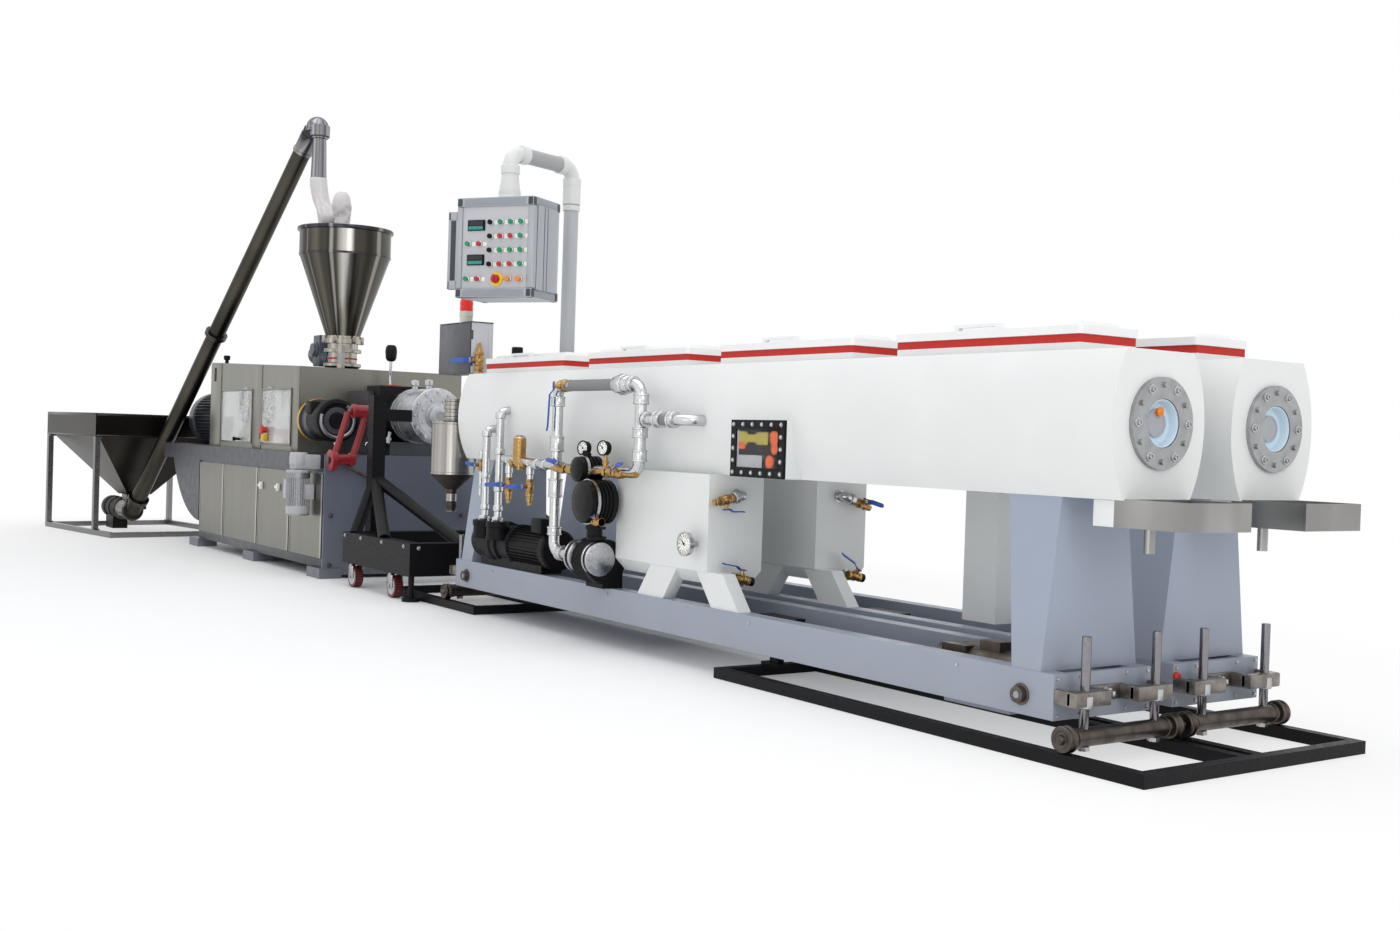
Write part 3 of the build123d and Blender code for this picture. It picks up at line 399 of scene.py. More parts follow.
def brushed_steel(name, base, along, roughness=0.3, band=0.05):
    """Brushed stainless steel: long fine scratches along one axis that spread the reflections.

    The scratches are drawn 4 mm wide, coarser than the real 0.3 mm, so that they show."""
    look, tree, shader, coords = material(name, Metallic=1.0)
    scratches = noise(tree, coords, 4, 4, [0.006 if axis == along else 1.0 for axis in "XYZ"])
    bands = noise(tree, coords, 160, 2, [0.04 if axis == along else 1.0 for axis in "XYZ"])
    both = maths(tree, "MULTIPLY_ADD", scratches, 0.5, maths(tree, "MULTIPLY", bands, 0.5))
    surface(tree, shader, spread(tree, both, *shades(base, 1 - band, 1 + band)),
            between(tree, scratches, roughness - 0.07, roughness + 0.12))
    bump(tree, shader, scratches, 0.02, 0.05)
    return look


def from_axis(tree, coords, centre):
    """Coordinates that start at a centre in the frame."""
    return add(tree, "ShaderNodeMapping", {"Location": -centre}, {"Vector": coords}).outputs["Vector"]


def rolled_steel(name, base, centre, dark=0.3, light=1.25, glint=None):
    """Polished stainless sheet rolled round an axis, with painted reflections of a shop in bands up the
    sheet.

    The bands are painted into the colour, because the white studio has nothing dark to mirror, and bright
    lines among them are painted highlights. The widest bright one stands at the angle glint, in radians from
    X. Where the sheet turns away from the view, a painted dark reflection darkens it."""
    look, tree, shader, coords = material(name, Metallic=1.0)
    split = add(tree, "ShaderNodeSeparateXYZ", links={"Vector": from_axis(tree, coords, centre)})
    angle = maths(tree, "ARCTAN2", split.outputs["Y"], split.outputs["X"])
    ring = add(tree, "ShaderNodeCombineXYZ", links={"X": angle}).outputs["Vector"]
    wide, fine = (add(tree, "ShaderNodeTexNoise", {"Scale": scale, "Detail": 1.0},
                      {"Vector": ring}).outputs["Fac"] for scale in (2.3, 3.6))
    # Painted reflections: the colour runs in wide bands from dark to light round the axis
    tint = spread(tree, wide, *shades(base, dark, light), start=0.36, end=0.64)
    # Painted highlights: thin bright lines round the axis, the widest at the angle glint
    painted_streaks = between(tree, fine, 0.0, 0.5, 0.58, 0.7)
    if glint is not None:
        away = maths(tree, "ABSOLUTE", maths(tree, "SUBTRACT", angle, glint))
        painted_streaks = maths(tree, "MAXIMUM", painted_streaks, between(tree, away, 0.8, 0.0, 0.05, 0.2))
    surface(tree, shader, painted_dark_reflection(tree, toned(tree, painted_streaks, tint, "#D9D6CF")),
            between(tree, fine, 0.16, 0.28))
    bump(tree, shader, fine, 0.1, 0.3)
    return look


def stained_steel(name, base, size=700, dark=0.4, light=1.5, edges=0.0):
    """Dull stainless sheet with painted reflections of the shop in wide soft patches of a size in
    millimetres, and, as deep as edges, a painted dark reflection where it turns away from the view.
    """
    look, tree, shader, coords = material(name, Metallic=1.0)
    patches = noise(tree, coords, size, 1, (1, 1, 0.45))
    tint = spread(tree, patches, *shades(base, dark, light), start=0.36, end=0.66)
    if edges:
        tint = painted_dark_reflection(tree, tint, edges, 0.15, 0.65)
    surface(tree, shader, tint, between(tree, patches, 0.24, 0.36))
    bump(tree, shader, noise(tree, coords, 30, 3), 0.08, 0.12)
    return look


def lathe_steel(name, base, centre):
    """Stainless steel faced on a lathe: rings of tool marks round the axis, 6 mm apart so that they show."""
    look, tree, shader, coords = material(name, Metallic=1.0)
    rings = add(tree, "ShaderNodeTexWave", {"Scale": 1000 / 6 / 20, "Distortion": 0.6},
                {"Vector": from_axis(tree, coords, centre)},
                wave_type="RINGS", rings_direction="X").outputs["Fac"]
    stains = noise(tree, coords, 40, 4)
    surface(tree, shader, spread(tree, stains, *shades(base, 0.8, 1.08)), between(tree, stains, 0.26, 0.46))
    bump(tree, shader, rings, 0.15, 0.4)
    return look


def galvanised(name, base, roughness=0.3, edges=0.65):
    """Hot-dip zinc on steel: crystals a few centimetres wide, each a slightly different grey, with a painted
    dark reflection as deep as edges where the surface turns away from the view.
    """
    look, tree, shader, coords = material(name, Metallic=1.0)
    placed = add(tree, "ShaderNodeMapping", {"Scale": (90, 90, 90)}, {"Vector": coords})
    flakes = add(tree, "ShaderNodeTexVoronoi", {"Scale": 1.0}, {"Vector": placed.outputs["Vector"]})
    grey = add(tree, "ShaderNodeSeparateColor", links={"Color": flakes.outputs["Color"]}).outputs["Red"]
    tint = spread(tree, grey, *shades(base, 0.93, 1.03), start=0.0, end=1.0)
    surface(tree, shader, painted_dark_reflection(tree, tint, edges),
            between(tree, grey, roughness - 0.04, roughness + 0.05, 0, 1))
    bump(tree, shader, noise(tree, coords, 40, 2), 0.08, 0.12)
    return look


def bare_steel(name, base, roughness=0.42):
    """Steel left as rolled or cut, with brown oil and rust haze in patches."""
    look, tree, shader, coords = material(name, Metallic=1.0)
    patches = noise(tree, coords, 45, 6)
    surface(tree, shader, spread(tree, patches, *shades(base, 0.7, 1.1), start=0.35, end=0.65),
            between(tree, patches, roughness + 0.12, roughness - 0.08))
    bump(tree, shader, noise(tree, coords, 6, 3), 0.2, 0.4)
    return look


def moulded(name, base, roughness=0.36):
    """Injection-moulded plastic: an even colour under a slightly uneven half gloss."""
    look, tree, shader, coords = material(name, IOR=1.49)
    flow = noise(tree, coords, 120, 3)
    fine = noise(tree, coords, 18, 3)
    surface(tree, shader, spread(tree, flow, *shades(base, 0.965, 1.0)),
            between(tree, fine, roughness - 0.05, roughness + 0.08))
    bump(tree, shader, fine, 0.12, 0.25)
    return look


def matt_black(name, base, roughness=0.46):
    """Black coat or nylon with a fine grain that scatters the studio's white, so that it stays black."""
    look, tree, shader, coords = material(name, IOR=1.5, Specular_IOR_Level=0.16)
    wear = noise(tree, coords, 90, 5)
    grain = noise(tree, coords, 12, 3)
    surface(tree, shader, spread(tree, wear, *shades(base, 0.75, 1.25)),
            between(tree, grain, roughness - 0.08, roughness + 0.1))
    bump(tree, shader, grain, 0.2, 0.35)
    return look


def silicone(name, base):
    """Extruded silicone rubber: matt and soft, with dust in its pores."""
    look, tree, shader, coords = material(name, IOR=1.41)
    dust = noise(tree, coords, 16, 5)
    surface(tree, shader, spread(tree, dust, *shades(base, 0.86, 1.05)), between(tree, dust, 0.55, 0.7))
    bump(tree, shader, dust, 0.2, 0.35)
    return look


def cast_metal(name, base, roughness=0.45):
    """Sand-cast and machined metal: a pebbled skin that breaks up the highlight."""
    look, tree, shader, coords = material(name, Metallic=1.0)
    skin = noise(tree, coords, 9, 5)
    surface(tree, shader, spread(tree, skin, *shades(base, 0.78, 1.1)),
            between(tree, skin, roughness + 0.1, roughness - 0.1))
    bump(tree, shader, skin, 0.4, 0.45)
    return look


def clear_sheet(name, base, haze=0.04):
    """Clear acrylic sheet: a faint tint and gloss, with a haze from 0 for new to 1 for blind."""
    look, tree, shader, coords = material(name, IOR=1.49, Transmission_Weight=1.0, Alpha=haze)
    wipe = noise(tree, coords, 50, 4)
    surface(tree, shader, spread(tree, wipe, *shades(base, 0.96, 1.0)), between(tree, wipe, 0.04, 0.12))
    return look


def film(name, base):
    """Thin polyethylene film: cloudy white, barely clear, with creases that catch the light."""
    look, tree, shader, coords = material(
        name, IOR=1.5, Roughness=0.3, Transmission_Weight=0.12, Alpha=0.95)
    cloud = noise(tree, coords, 60, 4)
    tree.links.new(spread(tree, cloud, *shades(base, 0.93, 1.0)), shader.inputs["Base Color"])
    bump(tree, shader, noise(tree, coords, 22, 5, (1, 1, 0.35)), 1.2, 0.5)
    return look


def lit(name, base, strength):
    """A display or lamp lens that glows a little, in uneven patches."""
    look, tree, shader, coords = material(name, IOR=1.5, Roughness=0.2, Emission_Strength=strength)
    rows = noise(tree, coords, 12, 2)
    tint = spread(tree, rows, *shades(base, 0.7, 1.1))
    tree.links.new(tint, shader.inputs["Base Color"])
    tree.links.new(tint, shader.inputs["Emission Color"])
    return look


LOOKS = {}


def make_looks():
    """Every finish of the line, by the real material it stands for."""
    c = bpy.context.scene.line_colours
    LOOKS.update({
        # Baked white powder on welded sheet, the even bright skin of the tanks
        "tank_powder_coat": powder_coat("tank_powder_coat", c.tank, 0.34),
        # Compression-moulded white lids, a little glossier than the tanks
        "lid_plastic": moulded("lid_moulded_plastic", c.lid, 0.33),
        # Thick red silicone strip, the only strong colour of the tanks
        "seal_silicone": silicone("seal_red_silicone", c.seal),
        # Cold blue-grey machine paint on the beams and pedestals, dusty near the floor
        "blue_grey_paint": powder_coat("base_blue_grey_paint", c.blue_grey, 0.36, dust=0.3),
        # Slate machine paint on the extruder's base, darker than that of the tanks' bases
        "slate_paint": powder_coat("base_slate_blue_paint", linear("#666C7C"), 0.34, dust=0.2),
        # Brushed sheet with long upright grain on the cabinet doors
        "warm_grey_sheet": brushed_steel("cabinet_brushed_sheet", c.warm_grey, "Z", 0.34, 0.04),
        # Dark hammer paint on the table, gearbox and junction box
        "dark_grey_paint": powder_coat("drive_dark_grey_paint", c.dark_grey, 0.34),
        # Black powder coat on square tube and castings
        "black_coat": matt_black("frame_black_powder_coat", c.black),
        # Stainless cover of the barrel, brushed along the line
        "steel_x": brushed_steel("stainless_brushed_along_line", c.steel, "X", 0.3),
        # Folded sheet of the drip trays, with soft painted reflections in patches
        "tray_steel": stained_steel("tray_folded_stainless", linear("#9E9D9B"), 160, 0.8, 1.12),
        # Stainless sheet of the feeder, brushed upright
        "steel_z": brushed_steel("stainless_brushed_upright", c.steel, "Z", 0.28),
        # Galvanised water pipe with its flakes of zinc, darkened at its rims by a painted dark reflection
        "zinc_pipe": galvanised("pipe_galvanised_steel", linear("#CFD1D2"), 0.24),
        # Bright zinc plate on bolts, nuts, hinges and clamps
        "zinc_plate": galvanised("fastener_zinc_plate", linear("#C3C3C6"), 0.26),
        # Rolled steel of leadscrews, bosses and pins, brown with oil
        "bare_steel": bare_steel("axle_bare_steel", linear("#6B625C")),
        # Extruded grey pipe of the panel's post
        "grey_pvc": moulded("post_grey_pvc", linear("#B4B7BB"), 0.4),
        # White elbows and collars of the panel's arm
        "white_pp": moulded("fitting_white_polypropylene", linear("#DADBDA"), 0.36),
        # Textured grey enamel of the control panel
        "panel_enamel": powder_coat("panel_grey_enamel", linear("#B7BABE"), 0.42),
        # Anodised aluminium edge profiles of the panel
        "aluminium": brushed_steel("profile_anodised_aluminium", linear("#A8ACB2"), "Z", 0.34, 0.06),
        # Glossy red machine paint
        "red_paint": powder_coat("link_red_paint", c.red, 0.28),
        # Cast aluminium of the hanging motor
        "motor_cast": cast_metal("motor_cast_aluminium", linear("#9A9CA1")),
        # Forged brass of the valves and the manifold
        "brass": cast_metal("valve_forged_brass", c.brass, 0.3),
        # Dip-coated blue levers
        "valve_blue": moulded("lever_blue_vinyl", c.valve_blue, 0.34),
        # Black phenolic and nylon knobs, caps and filter housings
        "black_plastic": matt_black("knob_black_nylon", linear("#111113")),
        # Clear acrylic over gauges and windows
        "acrylic": clear_sheet("window_clear_acrylic", linear("#F4F7F6")),
        # The guard's sheets, hazed by years of wiping
        "wiped_acrylic": clear_sheet("guard_wiped_acrylic", linear("#F4F7F6"), 0.3),
        # Square tube of the loader's frame, thinly coated with zinc
        "frame_steel": galvanised("loader_frame_bare_tube", linear("#8B8A8C"), 0.3, 0.4),
        # Stainless of the loader's hopper, its colour made dark and patchy by painted reflections of the dark
        # shop
        "loader_steel": stained_steel("loader_hopper_stainless", linear("#33302D"), 700, 0.35, 1.8),
        # Polished tube of the screw, painted brown-black with reflections of the shop and darker still at its
        # rims by a painted dark reflection
        "screw_tube_steel": stained_steel(
            "screw_tube_painted_reflection_stainless", linear("#4B4941"), 500, 0.6, 1.3, 0.95),
        # White enamel of dials, tags and latches
        "dial_white": moulded("dial_white_enamel", linear("#F2F1EC"), 0.5),
    })


NODE_LOOKS = {
    "rail_frames": "black_coat",
    "inspection_window": "black_coat",
    "vacuum_pipework": "zinc_pipe",
    "vacuum_pump": "black_coat",
    "water_filters": "black_plastic",
    "separator_pot": "pot",
    "junction_box": "dark_grey_paint",
    "panel_post": "grey_pvc",
    "panel_arm": "white_pp",
    "control_panel": "panel_enamel",
    "extruder_base": "slate_paint",
    "base_panels": "warm_grey_sheet",
    "drive_table": "dark_grey_paint",
    "drive_motor": "black_coat",
    "drive_guard": "warm_grey_sheet",
    "gearbox": "dark_grey_paint",
    "barrel": "steel_x",
    "feeder": "steel_z",
    "feed_hopper": "hopper",
    "hanging_motor": "motor_cast",
    "link_arms": "red_paint",
    "die_trolley": "black_coat",
    "loader_frame": "frame_steel",
    "loader_hopper": "loader_steel",
    "loader_drive": "black_coat",
    "loader_tube": "screw_tube_steel",
    "discharge_sleeve": "white_pp",
}
TANK_LOOKS = {
    "shell": "tank_powder_coat",
    "end_flanges": "lathe",
    "lid_seals": "seal_silicone",
    "base": "blue_grey_paint",
    "height_posts": "zinc_plate",
    "leadscrew": "bare_steel",
    "water_box": "tank_powder_coat",
    "drip_tray": "tray_steel",
    **{f"lid_{number}": "lid_plastic" for number in range(1, 5)},
}


class LINE_OT_finishes(bpy.types.Operator):
    """Give every node of the frame its own finish"""

    bl_idname = "line.finishes"
    bl_label = "Finishes"

    def execute(self, context):
        make_looks()
        wanted = dict(NODE_LOOKS)
        for number, y0 in TANKS:
            LOOKS[f"lathe_{number}"] = lathe_steel(
                f"end_ring_turned_steel_{number}", linear("#A9ABAC"), at(0, y0, TANK_AXIS))
            for part, look in TANK_LOOKS.items():
                wanted[f"tank_{number}_{part}"] = f"lathe_{number}" if look == "lathe" else look
        # The hopper's dark colour and the bands on both are painted reflections of the shop; glint puts the
        # hopper's widest painted highlight at the angle that faces the camera
        LOOKS["hopper"] = rolled_steel(
            "hopper_polished_stainless", linear("#4C4943"), at(*HOPPER, 0), 0.3, 1.5, glint=-0.366)
        LOOKS["pot"] = rolled_steel("pot_polished_stainless", linear("#A7A4A0"), at(*POT, 0), 0.75, 1.15)
        for name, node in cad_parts.items():
            for slot in node.material_slots:
                slot.material = LOOKS[wanted[name]]
        return {"FINISHED"}


# Small parts used in many places

def bolt(radius, height):
    """A hex bolt head on its washer, standing on the origin along Z."""
    washer = turned(((0, radius * 1.3), (1.5, radius * 1.3)), 14)
    head = turned(((1.5, radius), (height, radius), (height + 1.2, radius * 0.8)), 6)
    return joined([washer, head])


def bolts(places, toward, radius=None, height=6.0):
    """Bolt heads at places in millimetres, all facing one way."""
    radius = radius or bpy.context.scene.line_sizes.bolt * 1000
    return copies(bolt(radius, height), [aim(place, toward) for place in places])


def spun(piece, centre, angles, axis="X"):
    """One piece made of copies turned round an axis, such as the fins of a motor."""
    return copies(piece, [turn_about(centre, angle, axis) for angle in angles])


VALVE_BODY = ((-34, 13), (-34, 17), (-22, 17), (-20, 15), (-15, 16), (-9, 19.5), (0, 21), (9, 19.5),
              (15, 16), (20, 15), (22, 17), (34, 17), (34, 13))
VALVE_STEM = ((12, 12), (24, 12), (24, 8), (36, 8), (36, 10), (41, 10), (42, 7))


def lever_blank(reach):
    """A dipped steel lever along X, cranked up from its hub at the origin."""
    alone()
    bpy.ops.mesh.primitive_cube_add(size=1, location=(0, 0, 0.002))
    piece = bpy.context.object
    piece.scale = (0.026, 0.024, 0.005)
    bpy.ops.object.transform_apply(location=True, rotation=True, scale=True)
    bpy.ops.object.mode_set(mode="EDIT")
    for run, rise, narrow in ((0.016, 0.012, 0.85), (reach * 0.75, 0.004, 1.0), (reach * 0.15, 0.003, 0.7)):
        end = max(v.co.x for v in bmesh.from_edit_mesh(piece.data).verts)
        pick(lambda middle, normal: middle.x > end - 1e-5)
        bpy.ops.mesh.extrude_region_move(TRANSFORM_OT_translate={"value": (run, 0, rise)})
        bpy.ops.transform.resize(value=(1, narrow, 1))
    bpy.ops.mesh.select_all(action="SELECT")
    bpy.ops.mesh.bevel(offset=0.0013, segments=2, affect="EDGES")
    bpy.ops.object.mode_set(mode="OBJECT")
    return piece


def ball_valve(name, centre, along, stem, lever, body, size=1.0, reach=None):
    """A brass ball valve: its bore, its stem and the blue lever each have a direction."""
    reach = reach or bpy.context.scene.line_sizes.lever
    bore, rise, swing = (Vector(v).normalized() for v in (along, stem, lever))
    swing = (swing - rise * swing.dot(rise)).normalized()
    barrel, neck = ([(h * size, r * size) for h, r in steps] for steps in (VALVE_BODY, VALVE_STEM))
    nut = ((-6 * size, 19.5 * size), (6 * size, 19.5 * size))
    spots = [Matrix.Translation(bore * side * 0.028 * size) @ aim(centre, bore) for side in (-1, 1)]
    nuts = [moved(turned(nut, 6, 0.8), spot) for spot in spots]
    brass = [rod(centre, bore, barrel, 24), rod(centre, rise, neck, 16), *nuts]
    finish(brass, name + "_body", "brass", body)
    axes = Matrix((swing, rise.cross(swing), rise)).transposed().to_4x4()
    hub = Matrix.Translation(at(*centre) + rise * 0.036 * size) @ axes @ Matrix.Scale(size, 4)
    finish(moved(lever_blank(reach), hub), name + "_lever", "valve_blue", body)


def gauge(name, centre, facing, radius, body, depth, case_look="black_plastic"):
    """A round gauge: its case, white dial with eleven ticks and a pointer, and a clear lens."""
    case = rod(centre, facing, (
        (-depth, radius * 0.8), (-depth + 3, radius * 0.92), (-4, radius * 0.92), (-3, radius), (3, radius),
        (4, radius * 0.95), (4, radius * 0.86), (0, radius * 0.84)), 36)
    finish(case, name + "_case", case_look, body)
    dial = rod(centre, facing, ((0, radius * 0.83), (1.2, radius * 0.83)), 36)
    finish(dial, name + "_dial", "dial_white", body)
    alone()
    bpy.ops.mesh.primitive_cube_add(size=1, location=(0, radius * 0.00068, 0.0016))
    tick = bpy.context.object
    tick.scale = (radius * 0.00005, radius * 0.0002, 0.0006)
    bpy.ops.object.transform_apply(location=True, rotation=True, scale=True)
    face = aim(centre, facing)
    marks = copies(tick, [face @ Matrix.Rotation(radians(225 - 27 * i), 4, "Z") for i in range(11)])
    alone()
    bpy.ops.mesh.primitive_cone_add(vertices=4, radius1=radius * 0.00009, depth=radius * 0.0009,
                                    location=(0, radius * 0.0003, 0.0022), rotation=(-pi / 2, 0, 0))
    needle = moved(bpy.context.object, Matrix.Identity(4))
    needle = moved(needle, face @ Matrix.Rotation(radians(50), 4, "Z"))
    hub = rod(centre, facing, ((1.2, radius * 0.11), (3.2, radius * 0.11)), 12)
    finish([marks, needle, hub], name + "_marks", "black_plastic", body)
    lens = rod(centre, facing, ((3.4, radius * 0.85), (4.2, radius * 0.85)), 36)
    finish(lens, name + "_lens", "acrylic", body)


# Tanks

TANKS = ((1, 0), (2, TANK_PITCH))
TANK_LENGTH = 4262
TANK_AXIS = 1000
BASE_END = -169
BASE_START = -4210
ENDS = ((BASE_END, 1), (BASE_START, -1))
AXLE_OUT = 66
AXLE_Z = 80.3
RAIL_OFFSET = 236
POST_OFFSET = 158
BAR_Z = 192
WHEEL = ((-18, 30), (-18, 37), (-15, 40), (-7, 40), (-3, 33.5), (4, 33.5), (8, 40), (15, 40),
         (18, 37), (18, 27), (14, 24), (14, 15), (22, 13), (27, 11))
LID_LENGTH = 800
LID_PITCH = 1038
LAST_LID_END = 198
LID_AXIS = (131, 1261.5)


def screw_thread(start, end, radius, pitch=4):
    """Steps of a threaded stretch, drawn with a 4 mm pitch so that it shows."""
    steps, z = [], start
    while z < end:
        steps += [(z, radius), (z + pitch / 2, radius - 1.6)]
        z += pitch
    return steps


class LINE_OT_running_gear(bpy.types.Operator):
    """Axles, wheels, strap bars, height posts and their nuts under both tanks"""

    bl_idname = "line.running_gear"
    bl_label = "Running gear"

    def execute(self, context):
        LOOKS["axle_steel"] = bare_steel("axle_tube_oiled_steel", linear("#5B534E"), 0.36)
        LOOKS["strap_steel"] = bare_steel("strap_bar_rolled_steel", linear("#8D8782"), 0.36)
        # The posts' colour is darkened at their rims by a painted dark reflection
        LOOKS["post_steel"] = galvanised("post_ground_steel", linear("#8E8C90"), 0.2, 0.9)
        for number, y0 in TANKS:
            body = f"tank_{number}"
            axles, straps, posts, nuts = [], [], [], []
            for face, out in ENDS:
                x = face + out * AXLE_OUT
                axles += self.axle(x, y0)
                straps += self.strap(face, out, x, y0)
                for side in (-1, 1):
                    y = y0 + side * POST_OFFSET
                    posts.append(rod((x, y, 44), UP, (
                        (0, 11), (2, 14), *screw_thread(4, 60, 14), (62, 14), (329, 14), (331, 11.5)), 24))
                    nuts.append(rod((x, y, 164), UP, ((0, 21), (2, 24), (36, 24), (38, 21)), 6, 0.6))
                    nuts.append(rod((x, y, 40.5), UP, ((0, 16), (1, 19), (13, 19), (14, 17)), 6))
                nuts.append(rod((face + out * 12, y0, BAR_Z), (out, 0, 0), (
                    (0, 21), (3, 21), (3, 15), (15, 15), (17, 12), (17, 8), (31, 8), (32, 6)), 24))
            axle = finish(axles, f"{body}_axles_and_wheels", "axle_steel", body)
            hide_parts(f"{body}_height_posts")
            finish(straps, f"{body}_strap_bars", "strap_steel", body)
            finish(posts, f"{body}_threaded_posts", "post_steel", body)
            finish(nuts, f"{body}_post_nuts", "zinc_plate", body)
        return {"FINISHED"}

    def axle(self, x, y0):
        made = [rod((x, y0 - RAIL_OFFSET, AXLE_Z), FAR, ((0, 28), (2 * RAIL_OFFSET, 28)), 36)]
        for side in (-1, 1):
            y = y0 + side * RAIL_OFFSET
            made.append(rod((x, y, AXLE_Z), (0, side, 0), WHEEL, 40, 0.8))
            made.append(rod((x, y - side * 40, AXLE_Z), (0, side, 0), (
                (0, 28), (2, 31), (10, 31), (12, 28)), 36))
        return made

    def strap(self, face, out, x, y0):
        """A flat bar bolted to the end plate, with both its ends bent round the posts."""
        low, high = BAR_Z - 23, BAR_Z + 23
        made = [slab(sorted((face, face + out * 12)), (y0 - 75, y0 + 75), (low, high), 2)]
        for side in (-1, 1):
            inner, outer = y0 + side * 62, y0 + side * 218
            made.append(slab((x - 20, x + 20), sorted((inner, outer)), (low, high), 6))
            for end, turn in ((inner, side), (outer, -side)):
                made.append(slab(sorted((face, x)), sorted((end, end + turn * 20)), (low, high), 5))
        return made


class LINE_OT_base_details(bpy.types.Operator):
    """Bolts of the end plates, bosses of the cross axles and the cap on the far base"""

    bl_idname = "line.base_details"
    bl_label = "Base details"

    def execute(self, context):
        for number, y0 in TANKS:
            body = f"tank_{number}"
            made = []
            for face, out in ENDS:
                rows = [(face, y0 + y, z) for y in (-202, -104, 104, 202) for z in (134, 243)]
                rows += [(face, y0 + y, 188) for y in (-208, 208)]
                made.append(bolts(rows, (out, 0, 0), 5.5, 4))
            for x in (BASE_END - 400, BASE_END - 1500, -2700, -3800):
                made.append(bolts([(x, y0 - 217, 228)], NEAR, 5, 3.5))
                made.append(bolts([(x, y0 + 217, 228)], FAR, 5, 3.5))
            finish(made, f"{body}_base_bolts", "zinc_plate", body)
            bosses = []
            for x in (BASE_END - 127, BASE_START + 127):
                for side in (-1, 1):
                    bosses.append(rod((x, y0 + side * 217, 180), (0, side, 0), (
                        (0.5, 33), (4, 33), (5, 30), (5, 24.5), (23, 24.5), (24.5, 22), (24.5, 13),
                        (21, 11)), 32))
            finish(bosses, f"{body}_cross_axle_bosses", "bare_steel", body)
        cap = rod((BASE_END, TANK_PITCH - 217 + 12, 216), RIGHT, ((0, 15), (9, 15), (14, 11), (15, 5)), 20)
        LOOKS["red_plastic"] = moulded("cap_red_polyethylene", linear("#C32A2E"), 0.4)
        finish(cap, "red_cap", "red_plastic", "tank_2")
        return {"FINISHED"}


class LINE_OT_tank_ends(bpy.types.Operator):
    """Pale guide liners, blanking discs and washers in the bores, and the brackets of the drip trays"""

    bl_idname = "line.tank_ends"
    bl_label = "Tank ends"

    def execute(self, context):
        LOOKS["liner"] = moulded("liner_pale_blue_polyethylene", linear("#CFE3F0"), 0.42)
        LOOKS["disc"] = moulded("disc_grey_polyethylene", linear("#A9ABB0"), 0.45)
        LOOKS["orange_plastic"] = moulded("cap_orange_nylon", linear("#F08412"), 0.38)
        for number, y0 in TANKS:
            body = f"tank_{number}"
            liners, discs, washers = [], [], []
            for face, out in ((0, 1), (-TANK_LENGTH, -1)):
                liners.append(rod((face - out * 75, y0, TANK_AXIS), (out, 0, 0), (
                    (0, 71.6), (83, 71.6), (86, 70), (86, 68), (83, 66), (58, 64), (56, 62)), 56))
                discs.append(rod((face - out * 20, y0, TANK_AXIS), (out, 0, 0), (
                    (0, 42), (9, 42), (11, 40), (11, 34), (9, 33)), 48))
                washers += [aim(place, (out, 0, 0))
                            for place in around((face + out * 14, y0, TANK_AXIS), 112, range(0, 360, 60))]
            finish(liners, f"{body}_bore_liners", "liner", body)
            finish(discs, f"{body}_blanking_discs", "disc", body)
            washer = turned(((0, 14), (2, 14), (2.6, 13), (2.6, 8.4), (9, 8.4), (9, 5), (6, 4.4)), 20)
            finish(copies(washer, washers), f"{body}_ring_screws", "zinc_plate", body)
            self.bracket(body, y0)
        cap = rod((-12, 2, 1034), RIGHT, ((0, 11), (8, 11), (10, 14), (14, 14), (16, 9), (21, 5)), 20)
        finish(cap, "orange_cap", "orange_plastic", "tank_1")
        return {"FINISHED"}

    def bracket(self, body, y0):
        """White sheet bracket behind a drip tray."""
        piece = slab((-112, -36.5), (y0 - 141.6, y0 + 141.6), (696.4, 774), 1.5)
        finish(piece, f"{body}_tray_bracket", "tank_powder_coat", body)


def lid_span(number):
    """Low and high X of one of a tank's lids, 1 to 4 from the extruder end."""
    end = -LAST_LID_END - (4 - number) * LID_PITCH
    return end - LID_LENGTH, end


class LINE_OT_lid_fittings(bpy.types.Operator):
    """Hinges behind every lid, and the knob of the first one"""

    bl_idname = "line.lid_fittings"
    bl_label = "Lid fittings"

    def execute(self, context):
        for number, y0 in TANKS:
            body = f"tank_{number}"
            y, z = y0 + LID_AXIS[0], LID_AXIS[1]
            fixed = []
            for lid in range(1, 5):
                low, high = lid_span(lid)
                moving = []
                for x in (low + 120, high - 120):
                    fixed.append(rod((x - 34, y, z), RIGHT, (
                        (0, 5), (1, 7.5), (22, 7.5), (22, 6.6), (46, 6.6), (46, 7.5), (67, 7.5),
                        (68, 5)), 16))
                    fixed.append(slab((x - 34, x + 34), (y0 + 125, y0 + 129), (z - 44, z), 1))
                    moving.append(slab((x - 22, x + 22), (y0 + 131.5, y0 + 135.5), (z, z + 24), 1))
                    fixed.append(bolts([(x - 20, y0 + 129, z - 30), (x + 20, y0 + 129, z - 30)], FAR, 4.5, 3))
                finish(moving, f"{body}_lid_{lid}_hinge_leaves", "zinc_plate", f"{body}_lid_{lid}")
            finish(fixed, f"{body}_lid_hinges", "zinc_plate", body)
        knob = rod((lid_span(1)[0] + 92, 0, 1287.5), UP, (
            (0, 17), (14, 15), (18, 22), (22, 28.6), (30, 29), (58, 29), (64, 27.6), (67, 24), (67.4, 14),
            (66.5, 12)), 40, 0.6)
        finish(knob, "tank_1_lid_1_knob", "black_plastic", "tank_1_lid_1")
        return {"FINISHED"}


# Water boxes and pipework

BOX_END = -1961
OUTLET_Z = 694
DRAIN_Z = 366


